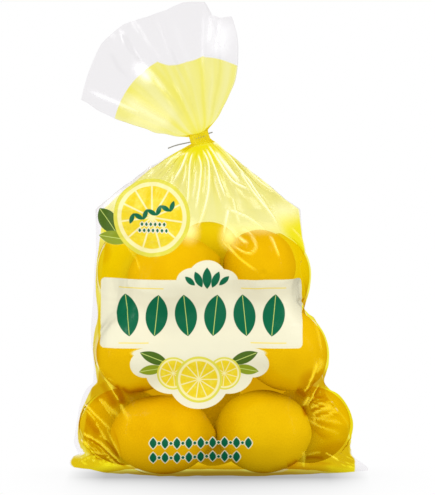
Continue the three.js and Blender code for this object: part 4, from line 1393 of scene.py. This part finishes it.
class LEMONBAG_OT_tie(bpy.types.Operator):
    """Make the wire tie round the neck"""
    bl_idname = "lemon_bag.tie"
    bl_label = "Wire tie"

    def execute(self, context):
        settings = context.scene.lemon_bag.tie
        reach_x = NECK_HALF_WIDTH - WIRE_SIDE_INSET
        # from the left tail behind the neck, round the front, behind again and out to the right
        route = [
            (-s, 0.9 * math.sin(s / 3), -TIE_RISE / 2 + 0.4 * math.sin((TIE_LEFT_TAIL - s) / 4))
            for s in np.arange(TIE_LEFT_TAIL, reach_x, -WIRE_STEP)]
        for share in np.linspace(0, 1, settings.turn_steps + 1):
            turn = WIRE_TURNS * math.pi * (1 - 2 * share)
            reach_y = NECK_HALF_DEPTH - WIRE_INSET[math.cos(turn) < 0]
            route.append((reach_x * math.sin(turn), -reach_y * math.cos(turn), TIE_RISE * (share - 0.5)))
        route += [
            (s, 0.1 * (s - reach_x), TIE_RISE / 2)
            for s in np.arange(reach_x + WIRE_STEP, TIE_RIGHT_TAIL, WIRE_STEP)]
        curve = bpy.data.curves.new("twist_tie_wire", "CURVE")
        curve.dimensions = "3D"
        curve.bevel_depth = WIRE_RADIUS * MM
        curve.bevel_resolution = 3
        curve.use_fill_caps = True
        spline = curve.splines.new("POLY")
        spline.points.add(len(route) - 1)
        for point, (across, y, up) in zip(spline.points, route):
            point.co = (*(neck_point(across, y, up) * MM), 1)
        wire = bpy.data.objects.new("tie_wire", curve)
        curve.materials.append(wire_material(settings))
        context.scene.collection.objects.link(wire)
        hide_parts("twist_tie")
        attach(wire, "root")
        return {"FINISHED"}


class LEMONBAG_OT_stage(bpy.types.Operator):
    """Set up the floor, the light and the camera"""
    bl_idname = "lemon_bag.stage"
    bl_label = "Stage"

    def execute(self, context):
        settings = context.scene.lemon_bag.stage
        self.floor()
        self.lights(context.scene)
        self.camera(context.scene, settings)
        context.scene.view_settings.view_transform = "Standard"
        context.scene.cycles.transparent_max_bounces = 32
        return {"FINISHED"}

    @staticmethod
    def floor():
        """A clear floor with a painted shadow: dark where the bag's shadow is painted, mostly towards the
        front, and clear around that, so that it fades into the white room."""
        bm = bmesh.new()
        bmesh.ops.create_circle(bm, cap_ends=True, segments=64, radius=0.7)
        mesh = bpy.data.meshes.new("floor")
        bm.to_mesh(mesh)
        bm.free()
        graph = Graph("floor_painted_shadow")
        x, y, _ = graph.xyz(graph.object_coordinates())
        ahead = (-0.04 - y).maximum(0.0)
        behind = (y / 0.07).clamped()
        # painted shadow: a contact band along the bag's front and a soft shadow cast forwards, set by place
        # alone
        contact = (ahead / -0.045).math("EXPONENT") * (abs(x) - 0.098).inside(0.03) * (1 - behind)
        cast = (ahead / -0.15).math("EXPONENT") * (-(x / 0.08) ** 2).math("EXPONENT") * (1 - behind)
        shadow = graph.add("ShaderNodeBsdfDiffuse", None, {"Color": (0.0, 0.0, 0.0, 1.0)}).outputs[0]
        clear = graph.add("ShaderNodeBsdfTransparent").outputs[0]
        shading = graph.mix_shader(contact * 0.42 + cast * 0.21, clear, shadow)
        floor = new_object("floor", mesh, graph.finish(shading))
        floor.visible_glossy = False

    @staticmethod
    def lights(scene):
        world = bpy.data.worlds.new("white_room")
        world.use_nodes = True
        background = world.node_tree.nodes["Background"]
        background.inputs["Color"].default_value = (1.0, 1.0, 1.0, 1.0)
        background.inputs["Strength"].default_value = 1.0
        scene.world = world
        world.cycles_visibility.glossy = False
        # name, place, width, height, watts, and whether it only shows as a gleam
        lamps = (
            ("top", (0.05, -0.55, 1.45), 0.7, 0.7, 9.8, False),
            ("front", (0.0, -1.6, 0.1), 1.4, 0.4, 5.0, False),
            ("low", (0.0, -1.3, -0.25), 1.2, 0.3, 5.0, False),
            ("left", (-1.4, -0.15, 0.25), 0.4, 0.9, 4.6, False),
            ("right", (1.4, -0.15, 0.25), 0.4, 0.9, 5.0, False),
            ("upper_right_gleam", (0.75, -0.45, 1.15), 0.3, 0.4, 2.2, True),
            ("upper_left_gleam", (-0.75, -0.45, 1.15), 0.3, 0.4, 2.2, True),
            ("right_gleam", (1.05, -0.45, 0.4), 0.06, 0.8, 1.0, True),
            ("left_gleam", (-1.1, -0.4, 0.4), 0.06, 0.8, 1.0, True),
        )
        for name, place, width, height, power, gleam in lamps:
            light = bpy.data.lights.new(name, "AREA")
            light.shape = "RECTANGLE"
            light.size, light.size_y = width, height
            light.energy = power
            lamp = bpy.data.objects.new(name, light)
            lamp.location = place
            lamp.rotation_euler = (Vector((0, 0, 0.15)) - Vector(place)).to_track_quat("-Z", "Y").to_euler()
            lamp.visible_diffuse = not gleam
            lamp.visible_glossy = gleam
            scene.collection.objects.link(lamp)

    @staticmethod
    def camera(scene, settings):
        data = bpy.data.cameras.new("camera")
        data.sensor_fit = "VERTICAL"
        picture_height = PICTURE_ROWS * settings.pixel
        data.lens = data.sensor_height * settings.distance / picture_height
        camera = bpy.data.objects.new("camera", data)
        elevation = settings.elevation
        away = Vector((0, -math.cos(elevation), math.sin(elevation))) * settings.distance
        camera.location = Vector((0, 0, settings.aim_height)) + away
        camera.rotation_euler = (math.pi / 2 - elevation, 0, 0)
        scene.collection.objects.link(camera)
        scene.camera = camera


class LEMONBAG_PT_panel(bpy.types.Panel):
    """Buttons for the pieces of the bag"""
    bl_idname = "LEMONBAG_PT_panel"
    bl_label = "Bag of Lemons"
    bl_space_type = "VIEW_3D"
    bl_region_type = "UI"
    bl_category = "Lemons"

    def draw(self, context):
        for operator in OPERATORS:
            self.layout.operator(operator.bl_idname)


SETTINGS = (FruitSettings, FilmSettings, PrintSettings, TieSettings, StageSettings, BagSettings)
OPERATORS = (LEMONBAG_OT_fruit, LEMONBAG_OT_film, LEMONBAG_OT_tie, LEMONBAG_OT_stage)


def register():
    for item in (*SETTINGS, *OPERATORS, LEMONBAG_PT_panel):
        bpy.utils.register_class(item)
    bpy.types.Scene.lemon_bag = PointerProperty(type=BagSettings)


def unregister():
    del bpy.types.Scene.lemon_bag
    for item in reversed((*SETTINGS, *OPERATORS, LEMONBAG_PT_panel)):
        bpy.utils.unregister_class(item)


def main():
    register()
    bpy.ops.lemon_bag.fruit()
    bpy.ops.lemon_bag.film()
    bpy.ops.lemon_bag.tie()
    bpy.ops.lemon_bag.stage()


if __name__ == "__main__":
    main()
